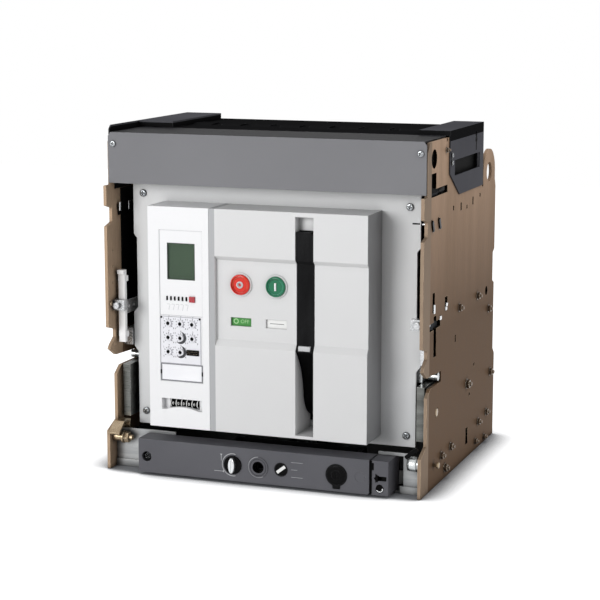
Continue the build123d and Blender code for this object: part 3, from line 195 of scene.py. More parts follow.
rounded, given, result = group(
    "rounded_edges", [("Radius", "Float", 0.0006), ("Rub", "Float", 6.0), ("Patch", "Float", 60.0)],
    [("Normal", "Vector"), ("Worn", "Float")])
soft = add(rounded, "Bevel", {"Radius": given["Radius"]}, samples=4)
flat = add(rounded, "NewGeometry").outputs["Normal"]
same = sums(rounded, "DOT_PRODUCT", soft, flat, "VectorMath").outputs["Value"]
turned = sums(rounded, "SUBTRACT", 1.0, same)
place = add(rounded, "TexCoord").outputs["Object"]
uneven = add(rounded, "TexNoise", {"Vector": place, "Scale": given["Patch"], "Detail": 4.0})
rubbed = sums(rounded, "MULTIPLY", turned, given["Rub"])
worn = sums(rounded, "MULTIPLY", rubbed, remap(rounded, uneven, 0.42, 0.62), use_clamp=True)
feed(rounded, result["Normal"], soft)
feed(rounded, result["Worn"], worn)

grained, given, result = group(
    "surface_grain",
    [("Color", "Color", (0.5, 0.5, 0.5, 1)), ("Cloud Color", "Color", (0.45, 0.45, 0.45, 1)),
     ("Cloud Size", "Float", 9.0), ("Grain Size", "Float", 900.0), ("Stretch", "Vector", (1, 1, 1)),
     ("Tone", "Float", 0.06), ("Height", "Float", 0.00002), ("Normal", "Vector", (0, 0, 0))],
    [("Color", "Color"), ("Fine", "Float"), ("Normal", "Vector")])
place = add(grained, "TexCoord").outputs["Object"]
drawn = sums(grained, "MULTIPLY", place, given["Stretch"], "VectorMath")
cloud = add(grained, "TexNoise", {"Vector": drawn, "Scale": given["Cloud Size"], "Detail": 5.0})
fine = add(grained, "TexNoise", {"Vector": drawn, "Scale": given["Grain Size"], "Detail": 3.0})
tint = mixed(grained, remap(grained, cloud, 0.32, 0.68), given["Color"], given["Cloud Color"])
darkest = sums(grained, "SUBTRACT", 1.0, given["Tone"])
brightest = sums(grained, "ADD", 1.0, given["Tone"])
tone = remap(grained, fine, 0.3, 0.7, darkest, brightest)
toned = add(grained, "VectorMath", {0: tint, "Scale": tone}, operation="SCALE")
relief = add(grained, "Bump", {"Height": fine, "Distance": given["Height"], "Normal": given["Normal"]})
feed(grained, result["Color"], toned)
feed(grained, result["Fine"], fine)
feed(grained, result["Normal"], relief)

grime_and_shade_group, given, result = group(
    "corner_grime_and_shade", [("Reach", "Float", 0.006), ("Amount", "Float", 0.5)], [("Grime and Shade", "Float")])
# Painted shade: where the sky reaches a corner less, the colour is darkened, for the dust that gathers there
# and for the shade that falls there.
open_sky = add(grime_and_shade_group, "AmbientOcclusion", {"Distance": given["Reach"]}, samples=4).outputs["AO"]
feed(grime_and_shade_group, result["Grime and Shade"], remap(grime_and_shade_group, open_sky, 0.35, 0.95, given["Amount"], 0.0))

zoned, given, result = group(
    "inside_box", [("Low", "Vector", (0, 0, 0)), ("High", "Vector", (1, 1, 1))], [("Mask", "Float")])
place = add(zoned, "TexCoord").outputs["Object"]
over = sums(zoned, "SUBTRACT", place, given["Low"], "VectorMath")
under = sums(zoned, "SUBTRACT", given["High"], place, "VectorMath")
least = add(zoned, "SeparateXYZ", {0: sums(zoned, "MINIMUM", over, under, "VectorMath")}).outputs
inner = sums(zoned, "MINIMUM", sums(zoned, "MINIMUM", least[0], least[1]), least[2])
feed(zoned, result["Mask"], sums(zoned, "GREATER_THAN", inner, 0.0))
print("effects:", [g.name for g in bpy.data.node_groups])

# %% [markdown]
# ## Finishes
# A finish is one colour with a second one clouded into it, a grain, a rubbed edge, and dust and painted
# shade in the corners. Sheet steel gets a grain that is drawn out along its rolling direction, powder coat a
# fine round one, and mouldings almost none. The colours are given as they look in daylight and turned into
# the linear values that the shader works with. A patch is a box in which the finish has another colour, such
# as a cut edge, a rail's shadow or a plate seen through a slot; many patches are painted shade, such as the
# black walls of punched holes, the darker top faces of the covers and the tray floor behind its lip, and one
# is painted light, a lining painted grey where it looks lit. A fade darkens a sheet downwards, where less of
# the room lights it.

# %% Define the finishes
def colour(code):
    """Linear RGBA of a colour written as six hexadecimal digits."""
    parts = [int(code[i:i + 2], 16) / 255 for i in (0, 2, 4)]
    return tuple(p / 12.92 if p <= 0.04045 else ((p + 0.055) / 1.055) ** 2.4 for p in parts) + (1.0,)


def use(tree, shared, **values):
    """Places a shared effect in a material."""
    made = tree.nodes.new("ShaderNodeGroup")
    made.node_tree = shared
    for label, value in values.items():
        feed(tree, made.inputs[label.replace("_", " ")], value)
    return made


finishes = {}


def finish(name, base, cloud, rough, metal, grain, rim, rub, grime_and_shade, stretch=(1, 1, 1), coat=0.0, spec=0.5,
           patches=(), fade=None):
    """One full material. grain is (cloud size, grain size, tone, height in mm), rim the edge radius in mm,
    rub (colour, amount) of the worn edges, grime_and_shade (amount, colour, reach in mm) of the grime and the
    painted shade in the corners. patches are (low corner, high corner, colour) boxes in mm, several of them
    painted shade and one painted light, and fade is (low z, high z, colour): what it falls off to downwards."""
    material = bpy.data.materials.new(name)
    material.use_nodes = True
    tree = material.node_tree
    tree.nodes.clear()
    edge = use(tree, rounded, Radius=rim * MM, Rub=rub[1] if rub else 0.0)
    shades = [colour(base), colour(cloud)]
    if fade:
        level = add(tree, "SeparateXYZ", {0: add(tree, "TexCoord").outputs["Object"]}).outputs[2]
        below = remap(tree, level, fade[0] * MM, fade[1] * MM, 1.0, 0.0)
        shades = [mixed(tree, below, shade, colour(fade[2])) for shade in shades]
    for low_corner, high_corner, own in patches:
        mask = use(tree, zoned, Low=[v * MM for v in low_corner], High=[v * MM for v in high_corner])
        shades = [mixed(tree, mask, shade, colour(own)) for shade in shades]
    cloud_size, grain_size, tone, height = grain
    skin = use(tree, grained, Color=shades[0], Cloud_Color=shades[1], Cloud_Size=cloud_size,
               Grain_Size=grain_size, Stretch=stretch, Tone=tone, Height=height * MM,
               Normal=edge.outputs["Normal"]).outputs
    shade = skin["Color"]
    if rub:
        shade = mixed(tree, edge.outputs["Worn"], shade, colour(rub[0]))
    if grime_and_shade:
        amount, grime_and_shade_color, reach = grime_and_shade
        shade = mixed(tree, use(tree, grime_and_shade_group, Reach=reach * MM, Amount=amount), shade, colour(grime_and_shade_color))
    shader = add(tree, "BsdfPrincipled", {
        "Base Color": shade, "Roughness": remap(tree, skin["Fine"], 0.3, 0.7, *rough), "Metallic": metal,
        "Normal": skin["Normal"], "Coat Weight": coat, "Coat Roughness": 0.08, "Specular IOR Level": spec})
    add(tree, "OutputMaterial", {"Surface": shader})
    finishes[name] = material


UPRIGHT = (3.0, 3.0, 0.16)
LENGTHWAYS = (0.12, 3.0, 3.0)
# Painted shade: the walls of the punched holes, inside the thickness of the side plates, are painted near
# black, so the holes look dark.
HOLE_WALL_SHADE = []
for low_y, low_z, high_y, high_z in [(-146, 150, 142, 345), (-146, 345, -70, 412), (-115, 5, 142, 119)]:
    for x in (202.05, -205.85):
        HOLE_WALL_SHADE.append(((x, low_y, low_z), (x + 3.8, high_y, high_z), "060504"))
finish("chromated_sheet", "bfa188", "a0856c", (0.4, 0.56), 0.3, (7, 420, 0.13, 0.01), 0.6, ("e0c8a8", 10),
       (0.9, "100a06", 7), UPRIGHT, spec=0.0, fade=(190, 400, "6e5845"),
       patches=HOLE_WALL_SHADE + [((-206.5, -178, -1), (-201.9, -131, 425), "a8917a"),
       ((201.9, -178, -1), (206.5, -141, 425), "93806e")])
# Painted shade: the tray floor behind its front lip is painted near black, where it lies in shade under the
# breaker.
finish("zinc_sheet", "b3b4b4", "8d8f90", (0.3, 0.44), 0.6, (26, 500, 0.08, 0.01), 0.4, ("eceae4", 7),
       (0.85, "0e0e0d", 12), LENGTHWAYS, patches=[((-202, -149.2, -1), (202, 163, 38), "1b1b1a")])
finish("rail_steel", "6c6d6a", "525350", (0.26, 0.4), 0.8, (40, 500, 0.1, 0.01), 0.5, ("e8e8e4", 9),
       (0.9, "0a0a0a", 10), LENGTHWAYS)
finish("zinc_bright", "cfd2d2", "b4b8b9", (0.18, 0.3), 0.85, (30, 900, 0.05, 0.01), 0.4, ("f2f4f4", 6),
       (0.45, "26282a", 6))
finish("gold_zinc", "b3a086", "8a775d", (0.22, 0.34), 0.8, (40, 900, 0.06, 0.01), 0.5, ("efe0c2", 8),
       (0.85, "1d150d", 6), patches=[((180, -180, 20), (203, -140, 60), "cfd1d2")])
# Painted shade: the top face of the top cover is painted dark grey, darker than its front.
finish("grey_powder", "88888b", "808083", (0.5, 0.62), 0, (4, 1500, 0.05, 0.05), 0.8, ("b7b7b9", 4),
       (0.35, "303032", 6), spec=0.03, patches=[((-206, -157.2, 421.0), (206, -60, 426), "29292b")])
# Painted shade: the tops of the arc cover and of its end caps are painted darker than their sides.
finish("dark_powder", "6b6b70", "5f5f64", (0.65, 0.8), 0, (6, 1300, 0.05, 0.04), 0.7, ("77787c", 6),
       (0.8, "040404", 14), spec=0.0, patches=[((-210, -155, 417.4), (210, 150, 430), "222223")])
finish("front_satin", "dcdddd", "d6d7d8", (0.42, 0.5), 0, (3, 1200, 0.02, 0.02), 0.7, ("e6e6e6", 3),
       (0.45, "5c5c5c", 12))
# Painted shade: the groove beside the trip unit and the right side face of the cover are painted a darker
# grey.
finish("cover_satin", "dcdcdc", "d8d8d8", (0.38, 0.46), 0, (3, 1500, 0.015, 0.03), 1.1, ("e8e8e8", 2),
       (0.4, "6a6a6a", 10), patches=[((-63, -178, 60), (-54.9, -110, 340), "aeafb1"),
       ((139.4, -176.5, 60), (141, -110, 340), "8e8f91")])
finish("trip_satin", "f4f4f5", "f1f1f2", (0.32, 0.4), 0, (3, 1500, 0.01, 0.02), 0.7, None, (0.3, "8b8b8e", 6),
       patches=[((-118.3, -174.4, 247.7), (-80.9, -172.8, 293.5), "2f4732"),
       ((-119.6, -168.6, 84.2), (-80.4, -155.0, 99.4), "151516")])
finish("dial_print", "f0f0f4", "ebebf0", (0.45, 0.55), 0, (30, 1500, 0.02, 0.01), 0.2, None,
       (0.25, "77787c", 3))
finish("panel_moulding", "5d5d62", "535358", (0.45, 0.6), 0, (8, 1100, 0.06, 0.06), 0.8, ("8d8d90", 4),
       (0.6, "101011", 6), spec=0.25)
finish("black_moulding", "0b0b0c", "070708", (0.35, 0.5), 0, (20, 1200, 0.08, 0.03), 0.5, ("3d3d3f", 5),
       (0.3, "020202", 6), spec=0.1)
finish("dark_screw", "2b2c2e", "17181a", (0.2, 0.3), 0.9, (60, 900, 0.06, 0.01), 0.4, ("e8e8e8", 14),
       (0.95, "030303", 4))
finish("handle_grain", "222223", "121213", (0.4, 0.56), 0, (26, 700, 0.2, 0.08), 0.9, ("4c4c4e", 4),
       (0.5, "010101", 10), (1.6, 1.6, 0.35), spec=0.03, fade=(167.5, 168.5, "050505"))
finish("thermoset", "3d2f2a", "2f2521", (0.4, 0.55), 0, (18, 700, 0.1, 0.04), 0.6, ("5c4c44", 3),
       (0.4, "120e0c", 6))
finish("chute_laminate", "8d8069", "796c57", (0.5, 0.65), 0, (60, 900, 0.1, 0.03), 0.4, None,
       (0.5, "231d15", 6), (1, 0.2, 1))
finish("tinned_copper", "c99a72", "b98862", (0.26, 0.38), 0.9, (20, 500, 0.06, 0.01), 0.6, ("ecd0b4", 6),
       (0.5, "3a2417", 6), (3.0, 0.2, 3.0))
finish("oiled_spring", "5b5c60", "3f4044", (0.25, 0.4), 0.85, (60, 900, 0.08, 0.01), 0.4, ("9a9b9f", 5),
       (0.5, "141416", 6))
finish("red_button", "ee2b0c", "e32308", (0.14, 0.2), 0, (8, 1500, 0.01, 0), 0.4, ("ff7a52", 5),
       (0.55, "6d0c02", 2), coat=0.2, spec=0.3)
finish("green_button", "057a52", "03704a", (0.12, 0.16), 0, (8, 1500, 0.01, 0), 0.4, ("4fbf98", 5),
       (0.55, "02291c", 2), coat=0.2, spec=0.3)
finish("printed_white", "f2f2f0", "eeeeec", (0.4, 0.5), 0, (20, 1500, 0.01, 0), 0.2, None, (0.2, "9a9a9a", 2))
finish("printed_green", "2f8f2a", "2a8726", (0.35, 0.45), 0, (40, 1500, 0.02, 0), 0.2, None,
       (0.5, "0c3a0c", 4), patches=[((-60, -180, 170), (0, -160, 192.6), "d8371f")])
finish("printed_dark", "2c2d31", "25262a", (0.5, 0.6), 0, (20, 1500, 0.02, 0), 0.1, None, None)
finish("red_key", "b01426", "a41022", (0.25, 0.32), 0, (20, 1500, 0.02, 0), 0.4, None, (0.4, "3d040a", 2),
       coat=0.3)
finish("display_green", "566b55", "4f644f", (0.3, 0.36), 0, (12, 1500, 0.02, 0), 0.3, None,
       (0.4, "1d2e20", 12), spec=0.04)
finish("rating_card", "fbfbfd", "f4f4f8", (0.35, 0.42), 0, (12, 1500, 0.01, 0), 0.3, None, (0.3, "8f9096", 3))
finish("screw_steel", "9fa2a4", "7d8083", (0.14, 0.24), 0.95, (60, 900, 0.05, 0.01), 0.3, ("f4f4f4", 6),
       (0.95, "0b0b0c", 4))
finish("rivet_steel", "7d6b5a", "54473a", (0.24, 0.36), 0.75, (60, 900, 0.06, 0.01), 0.3, ("fff0d8", 12),
       (0.98, "080503", 5))
finish("dark_steel", "070708", "040405", (0.55, 0.7), 0, (14, 500, 0.08, 0.01), 0.5, ("6a6b6d", 5),
       (0.6, "010101", 10), LENGTHWAYS, spec=0.02)
# Painted light: the upper right lining is painted dark grey instead of black, as it looks where light reaches
# it through the gap beside the front plate.
finish("black_lining_and_shade", "040404", "020202", (0.6, 0.75), 0, (20, 900, 0.06, 0.02), 0.4, ("2c2c2e", 4),
       (0.5, "010101", 10), spec=0.05, patches=[((199, -140, 176), (203, 130, 360), "3a3c3f")])
# Painted highlight: this light grey is the strip across the charging handle that stands for its lit chamfer.
finish("painted_highlight_grey", "c9cacb", "bfc0c1", (0.35, 0.45), 0, (20, 1500, 0.03, 0.01), 0.4, ("f0f0f0", 4),
       (0.4, "3a3b3f", 4))
# Painted light: the arms are bright plated steel, and their near white colour also paints light onto them
# where they stand in the shade of the side plates.
finish("arm_plate_with_painted_light", "f6f6f6", "dcdddd", (0.25, 0.38), 0.2, (40, 700, 0.06, 0.01), 0.5, ("ffffff", 9),
       (0.5, "101011", 4))
finish("bar_white", "ffffff", "fbfbfb", (0.28, 0.36), 0, (20, 1500, 0.01, 0), 0.4, None, (0.3, "55565a", 4))
finish("clamp_plate", "c9cacb", "adafb0", (0.22, 0.34), 0.7, (40, 700, 0.08, 0.01), 0.5, ("ffffff", 9),
       (0.95, "050505", 5))
finish("black_gloss", "050506", "030304", (0.16, 0.26), 0, (20, 1200, 0.05, 0.01), 0.3, ("3c3c3e", 6),
       (0.2, "010101", 6), spec=0.07)
finish("polished_grip", "e2e3e4", "cfd1d2", (0.1, 0.18), 0.9, (40, 1200, 0.03, 0), 0.4, ("ffffff", 4),
       (0.5, "101011", 3))
finish("frame_grey", "7e7f84", "77787d", (0.4, 0.5), 0, (20, 1500, 0.02, 0.01), 0.3, ("a9aaae", 4),
       (0.4, "3a3b3f", 3))
finish("display_edge", "26372a", "213125", (0.3, 0.4), 0, (20, 1500, 0.02, 0.01), 0.2, None,
       (0.4, "101a12", 2))
finish("printed_grey", "a9aab0", "a3a4aa", (0.5, 0.6), 0, (20, 1500, 0.02, 0), 0.1, None, None)
finish("pale_print_and_highlight", "b9babc", "b0b1b3", (0.5, 0.6), 0, (20, 1500, 0.03, 0), 0.1, None, None)
finish("printed_pale_green", "a9d79b", "a2d194", (0.45, 0.55), 0, (20, 1500, 0.02, 0), 0.1, None, None)
print("finishes:", len(finishes))

# %% [markdown]
# The panes of the trip unit are thin clear plastic. Real refraction through a two-millimetre pane is not
# visible from this distance, while the lamps should still light the display behind it. So the pane is a
# glossy surface that is almost fully transparent.

# %% Define the clear pane
pane = bpy.data.materials.new("clear_pane")
pane.use_nodes = True
film = pane.node_tree
film.nodes.clear()
smudge = add(film, "TexNoise", {"Vector": add(film, "TexCoord").outputs["Object"], "Scale": 90.0})
clear = add(film, "BsdfPrincipled", {
    "Base Color": (0.75, 0.8, 0.78, 1), "Alpha": 0.03, "Specular IOR Level": 0.12,
    "Roughness": remap(film, smudge, 0.3, 0.7, 0.03, 0.09)})
add(film, "OutputMaterial", {"Surface": clear})
finishes["clear_pane"] = pane

# %% [markdown]
# ## Giving the CAD pieces their finishes
# A CAD piece keeps its shape, and its material slot takes the finish. One table says which finish belongs
# to which piece, in the way that a parts list does.

# %% Finish the CAD pieces
FINISH_OF = {
    "chromated_sheet": ["side_plate_left", "side_plate_right"],
    "zinc_sheet": ["base_tray"],
    "rail_steel": ["rail_guides", "rail_left", "rail_right", "racking_carriage"],
    "dark_steel": ["racking_housing", "chassis", "racking_screw"],
    "clamp_plate": ["side_clamps"],
    "bar_white": ["interlock_bar"],
    "zinc_bright": ["carrying_pins", "main_shaft", "front_screws"],
    "gold_zinc": ["foot_bracket", "foot_pins", "cradle_fasteners"],
    "grey_powder": ["top_cover"],
    "dark_powder": ["arc_cover", "arc_cover_end_left", "arc_cover_end_right"],
    "front_satin": ["front_plate"],
    "cover_satin": ["front_cover"],
    "trip_satin": ["trip_unit"],
    "dial_print": ["dial_plate"] + ["dial_" + str(number) for number in range(1, 9)],
    "panel_moulding": ["drawout_panel", "lock_block"],
    "black_moulding": ["control_terminals", "test_port", "release_knob", "key_cylinder"],
    "black_gloss": ["position_indicator", "counter_wheels", "lock_plug"],
    "handle_grain": ["charging_handle"],
    "thermoset": ["terminal_base", "pole_housing"],
    "chute_laminate": ["arc_chutes", "drive_links"],
    "tinned_copper": ["main_terminals", "contact_clusters", "primary_stabs", "contact_arms"],
    "oiled_spring": ["closing_springs", "charging_shaft"],
    "red_button": ["off_button"],
    "green_button": ["on_button"],
    "printed_green": ["position_flag"],
    "printed_white": ["charge_flag"],
    "red_key": ["reset_key"],
    "clear_pane": ["trip_windows"],
}

for name, node_names in FINISH_OF.items():
    for node_name in node_names:
        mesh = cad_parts[node_name].data
        if not mesh.materials:
            mesh.materials.append(finishes[name])
        for index in range(len(mesh.materials)):
            mesh.materials[index] = finishes[name]
dressed = {node_name for node_names in FINISH_OF.values() for node_name in node_names}
print("CAD pieces dressed:", len(dressed), "left:", sorted(set(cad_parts) - dressed))

# %% [markdown]
# ## Tools for the small pieces
# Everything below is modelled as by hand: a primitive at its size and place, a few edits on chosen faces or
# edges, then a boolean or a bevel. Lengths are in mm, as on a drawing. The helpers only save typing: they
# select, open the edit mode, and put the finished place into the mesh.

# %% Name the tools
TURN = {"X": (0, math.pi / 2, 0), "Y": (-math.pi / 2, 0, 0), "Z": (0, 0, 0)}
ALONG = {"X": Vector((1, 0, 0)), "Y": Vector((0, 1, 0)), "Z": Vector((0, 0, 1))}


def only(*pieces):
    """Selects these pieces and nothing else. The last one is active."""
    bpy.ops.object.select_all(action="DESELECT")
    for item in pieces:
        item.select_set(True)
    bpy.context.view_layer.objects.active = pieces[-1]


def settle(piece):
    """Puts the place, the turn and the scale of a piece into its mesh."""
    only(piece)
    bpy.ops.object.transform_apply(location=True, rotation=True, scale=True)
    return piece


def slab(low_corner, high_corner):
    """A cuboid between two corners."""
    middle = (Vector(low_corner) + Vector(high_corner)) * 0.5 * MM
    size = (Vector(high_corner) - Vector(low_corner)) * MM
    bpy.ops.object.select_all(action="DESELECT")
    bpy.ops.mesh.primitive_cube_add(size=1, location=middle, scale=size)
    return settle(bpy.context.object)


def disc(start, axis, radius, length, sides=48):
    """A round bar that starts at a point and runs along the axis, backwards where the length is negative."""
    middle = (Vector(start) + ALONG[axis] * length / 2) * MM
    bpy.ops.object.select_all(action="DESELECT")
    bpy.ops.mesh.primitive_cylinder_add(vertices=sides, radius=radius * MM, depth=abs(length) * MM,
                                        location=middle, rotation=TURN[axis])
    return settle(bpy.context.object)


def choose(piece, kind, rule):
    """Opens a piece in edit mode with only those faces or edges selected for which the rule holds."""
    only(piece)
    bpy.ops.object.mode_set(mode="EDIT")
    bpy.ops.mesh.select_mode(type=kind)
    bpy.ops.mesh.select_all(action="DESELECT")
    form = bmesh.from_edit_mesh(piece.data)
    for part in list(form.faces if kind == "FACE" else form.edges):
        if rule(part):
            part.select_set(True)
    bmesh.update_edit_mesh(piece.data)


def close():
    bpy.ops.object.mode_set(mode="OBJECT")


def facing(x, y, z):
    """Rule for faces that look along a direction."""
    return lambda face: face.normal.dot(Vector((x, y, z))) > 0.9


def at(axis, value):
    """Rule for edges or faces that lie wholly in the plane axis = value (mm)."""
    return lambda part: all(abs(corner.co[axis] - value * MM) < 2e-5 for corner in part.verts)


def along(axis):
    """Rule for edges that run along an axis."""
    def rule(edge):
        run = edge.verts[0].co - edge.verts[1].co
        return abs(run.dot(ALONG[axis])) > 0.9 * run.length
    return rule


def every(part):
    return True


def soften(piece, rule, width, steps=3):
    """Rounds the chosen edges."""
    choose(piece, "EDGE", rule)
    bpy.ops.mesh.bevel(offset=width * MM, segments=steps, affect="EDGES")
    close()
    return piece


def recess(piece, direction, *steps):
    """Insets the face that looks along a direction and pushes it in, once for each (width, depth)."""
    choose(piece, "FACE", facing(*direction))
    for width, depth in steps:
        bpy.ops.mesh.inset(thickness=width * MM)
        bpy.ops.transform.translate(value=[-part * depth * MM for part in direction])
    close()
    return piece


def sink(piece, width, depth):
    """Insets the front face and extrudes it inwards, so that it gets straight walls."""
    choose(piece, "FACE", facing(0, -1, 0))
    bpy.ops.mesh.inset(thickness=width * MM)
    bpy.ops.mesh.extrude_region_move(TRANSFORM_OT_translate={"value": (0, depth * MM, 0)})
    close()
    return piece


def opened_up(piece, axis, width):
    """Leaves a rim: both ends of a piece are inset, and the inner faces are bridged to open the middle."""
    choose(piece, "FACE", lambda face: abs(face.normal.dot(ALONG[axis])) > 0.9)
    bpy.ops.mesh.inset(thickness=width * MM, use_individual=True)
    bpy.ops.mesh.bridge_edge_loops()
    close()
    return piece


def ring(start, axis, outer, inner, length, sides=48):
    return opened_up(disc(start, axis, outer, length, sides), axis, outer - inner)


def frame_of(x, z, front, depth, width):
    """A rectangular frame between two x and two z."""
    return opened_up(slab((x[0], front, z[0]), (x[1], front + depth, z[1])), "Y", width)


def sheet_at(x, depth, y, z):
    """A slab that starts in the plane x, with its depth to the right or, where negative, to the left."""
    return slab((min(x, x + depth), y[0], z[0]), (max(x, x + depth), y[1], z[1]))


def cut(piece, *tools):
    """Takes the tools out of a piece."""
    for tool in tools:
        only(piece)
        step = piece.modifiers.new("cut", "BOOLEAN")
        step.operation = "DIFFERENCE"
        step.solver = "EXACT"
        step.object = tool
        bpy.ops.object.modifier_apply(modifier=step.name)
        bpy.data.objects.remove(tool)
    return piece


def joined(*pieces):
    only(*pieces)
    bpy.ops.object.join()
    return bpy.context.object


def copies(piece, moves):
    """Copies of a piece, each with its own mesh: one for every (move in mm, turn in degrees)."""
    made = []
    for move, turn in moves:
        twin = piece.copy()
        twin.data = piece.data.copy()
        bpy.context.collection.objects.link(twin)
        twin.location = Vector(move) * MM
        twin.rotation_euler = [math.radians(angle) for angle in turn]
        made.append(settle(twin))
    bpy.data.objects.remove(piece)
    return joined(*made) if len(made) > 1 else made[0]


def give(piece, name, body, finish_name, smooth=35.0):
    """Names a piece, gives it its finish, and says which body it rides on."""
    only(piece)
    bpy.ops.object.shade_smooth_by_angle(angle=math.radians(smooth))
    piece.name = name
    piece.data.name = name
    piece.data.materials.clear()
    piece.data.materials.append(finishes[finish_name])
    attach(piece, body)
    return piece


print("tools ready")

# %% [markdown]
# ## Screws, nuts and rivets
# The front plate, the top cover and the caps are held by pan-head screws with a cross recess. One screw is
# modelled at the origin, with its head towards the front, and copied to its places. The recess is cut with
# two crossed bars, as the driver would fit it. On the sides, nuts with a chamfered top sit on thin washers,
# with the end of the stud standing out of each. Rivets are low domes.

# %% Model the fasteners
def pan_head(radius):
    """A pan-head screw at the origin, seen from -Y: rounded rim and a cross recess."""
    head = disc((0, 0, 0), "Y", radius, -radius * 0.62)
    soften(head, at(1, -radius * 0.62), radius * 0.34, 4)
    wide = radius * 0.62
    thin = radius * 0.15
    upright = slab((-thin, -radius, -wide), (thin, -radius * 0.28, wide))
    level = slab((-wide, -radius, -thin), (wide, -radius * 0.28, thin))
    return cut(head, upright, level)


def rivet(radius, height):
    """A low domed rivet head at the origin, seen from +X."""
    head = disc((0, 0, 0), "X", radius, height)
    return soften(head, at(0, height), height * 0.8, 5)


def nut_on_stud(across):
    """A hexagon nut on a thin washer with the stud end standing out of it, at the origin, seen from +X."""
    washer = disc((0, 0, 0), "X", across * 0.62, 0.8, 40)
    soften(washer, at(0, 0.8), 0.3, 2)
    nut = disc((1.1, 0, 0), "X", across / 1.8, across * 0.32, 6)
    recess(nut, (1, 0, 0), (across * 0.07, -across * 0.04))
    length = 1.1 + across * 0.32 + 2.8
    stud = disc((0, 0, 0), "X", across * 0.27, length, 28)
    soften(stud, at(0, length), across * 0.08, 2)
    return joined(washer, nut, stud)


print("fasteners: pan head, nut on a stud, rivet")

# %% Place the screws of the front
PLATE_FACE = -122.4
front_places = [(-174, 346), (174.8, 343), (-174, 66.6), (172.7, 63.8)]
screws = copies(pan_head(4.6), [((x, PLATE_FACE, z), (0, 17 * i, 0))
                                for i, (x, z) in enumerate(front_places)])
give(screws, "front_plate_screws", "breaker", "screw_steel")
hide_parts("front_screws")
print("front screws:", len(front_places))

# %% Place the screws, nuts and pin ends of the cradle
TOP_FACE = -158.0
CAP_FACE = 207.6
PLATE_SIDE = 206.0
top_screws = copies(pan_head(3.9), [((-197.5, TOP_FACE, 410), (0, 12, 0)),
                                    ((197.5, TOP_FACE, 410), (0, 31, 0))])
cap_screws = copies(pan_head(2.6), [((side * (CAP_FACE + 0.6), y, z), (0, 0, side * 90))
                                    for side in (-1, 1) for y, z in [(-60, 400), (-60, 391)]])
give(joined(top_screws, cap_screws), "cover_screws", "cradle", "screw_steel")
washers = []
for side in (-1, 1):
    for z in (400, 391):
        washer = disc((side * CAP_FACE, -60, z), "X", 4.2, side * 0.7, 40)
        washers.append(soften(washer, at(0, side * (CAP_FACE + 0.7)), 0.3, 2))
give(joined(*washers), "cap_washers", "cradle", "black_gloss")

NUTS = [(-11, 205, 8.5), (79, 205.5, 8.5), (136.7, 179, 8.5), (132.6, 39, 8), (91, 35, 8), (78, 11.5, 7),
        (123, 7, 7), (-43.8, 34.4, 8.5), (-85.6, 33, 8.5), (150, 90.4, 9), (31.5, 98.6, 10.5), (-68, 13, 9)]
nuts = []
for side in (-1, 1):
    outwards = 90 - side * 90
    for y, z, across in NUTS:
        nuts.append(copies(nut_on_stud(across), [((side * PLATE_SIDE, y, z), (11 * z, 0, outwards))]))
    nuts.append(copies(nut_on_stud(5.5), [((side * PLATE_SIDE, -79, 408), (0, 0, outwards))]))
nuts = joined(*nuts)
give(nuts, "side_nuts", "cradle", "rivet_steel", 25)
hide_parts("cradle_fasteners")

ends = []
for side in (-1, 1):
    start = side * PLATE_SIDE
    neck = disc((start, -118, 29), "X", 2.2, side * 4.5, 32)
    head = disc((start + side * 3.8, -118, 29), "X", 3.8, side * 3.6, 40)
    button = disc((start - side * 2, -107, 92), "X", 5.2, side * 2.6, 40)
    ends += [neck, soften(head, at(0, start + side * 7.4), 1.0)]
    ends.append(soften(button, at(0, start + side * 0.6), 0.8))
give(joined(*ends), "side_pin_ends", "cradle", "gold_zinc")
print("cap screws, nuts and pin ends:", 4, len(NUTS) * 2 + 2, 4)

# %% Place the screws of the withdrawal panel
SCREW_Z = 23.4
PLUG_FACE = -182.75
LOCK_SKIN = -180.14
panel_screw = copies(pan_head(5.2), [((-146.5, -176.4, SCREW_Z), (0, 40, 0))])
give(panel_screw, "panel_screw", "cradle", "dark_screw")
plug = disc((133.9, PLUG_FACE, SCREW_Z), "Y", 6.45, 4.0, 56)
soften(plug, at(1, PLUG_FACE), 0.15, 1)
give(plug, "panel_plug", "cradle", "panel_moulding")
# Painted shade: thin black shapes on the lock block stand for the dark inside its arrow opening, its keyhole
# and its notches.
arrow = slab((155.2, LOCK_SKIN, 20.9), (166.0, -179.9, 26.1))
point = copies(disc((0, 0, 0), "Y", 6.4, 0.24, 3), [((155.4, LOCK_SKIN, 23.5), (0, -90, 0))])
keyhole = disc((157.6, LOCK_SKIN, 10.6), "Y", 5.0, 0.24, 40)
notch = slab((145.1, -180.12, 4.0), (147.9, -179.9, 45.0))
corner = slab((147.9, -180.12, 33.0), (150.2, -179.9, 42.0))
give(joined(arrow, point, keyhole, notch, corner), "lock_openings_shade", "cradle", "black_lining_and_shade")
# Painted highlight: a polished ring is cut to a crescent on the lower right of the keyhole, where a glint
# falls.
glint_crescent = ring((157.6, -180.3, 10.6), "Y", 4.2, 3.2, 0.2, 48)
glint_crescent = cut(glint_crescent, slab((150, -182, 9.0), (156.8, -179, 16)), slab((150, -182, 11.4), (166, -179, 17)))
give(glint_crescent, "lock_key_edge_glint", "cradle", "polished_grip")
print("panel screw, plug and lock openings done")

# %% [markdown]
# ## Linings, hooks and clamps of the cradle
# Behind the punched side plates sit black insulating linings, which also stand for the shade behind the
# slots, so that no light falls through them. A black mat on the tray floor and thin black shapes in the
# keyholes of the caps are painted shade as well. Two hooks of the inner frame reach through each plate, a
# plated arm carries on from each clamp, and a roller turns on the foot pin at the right. A lining is a slab
# with a rim: its face is inset and the middle is pushed in.

# %% Model the linings
HOLE_Z = 411.0


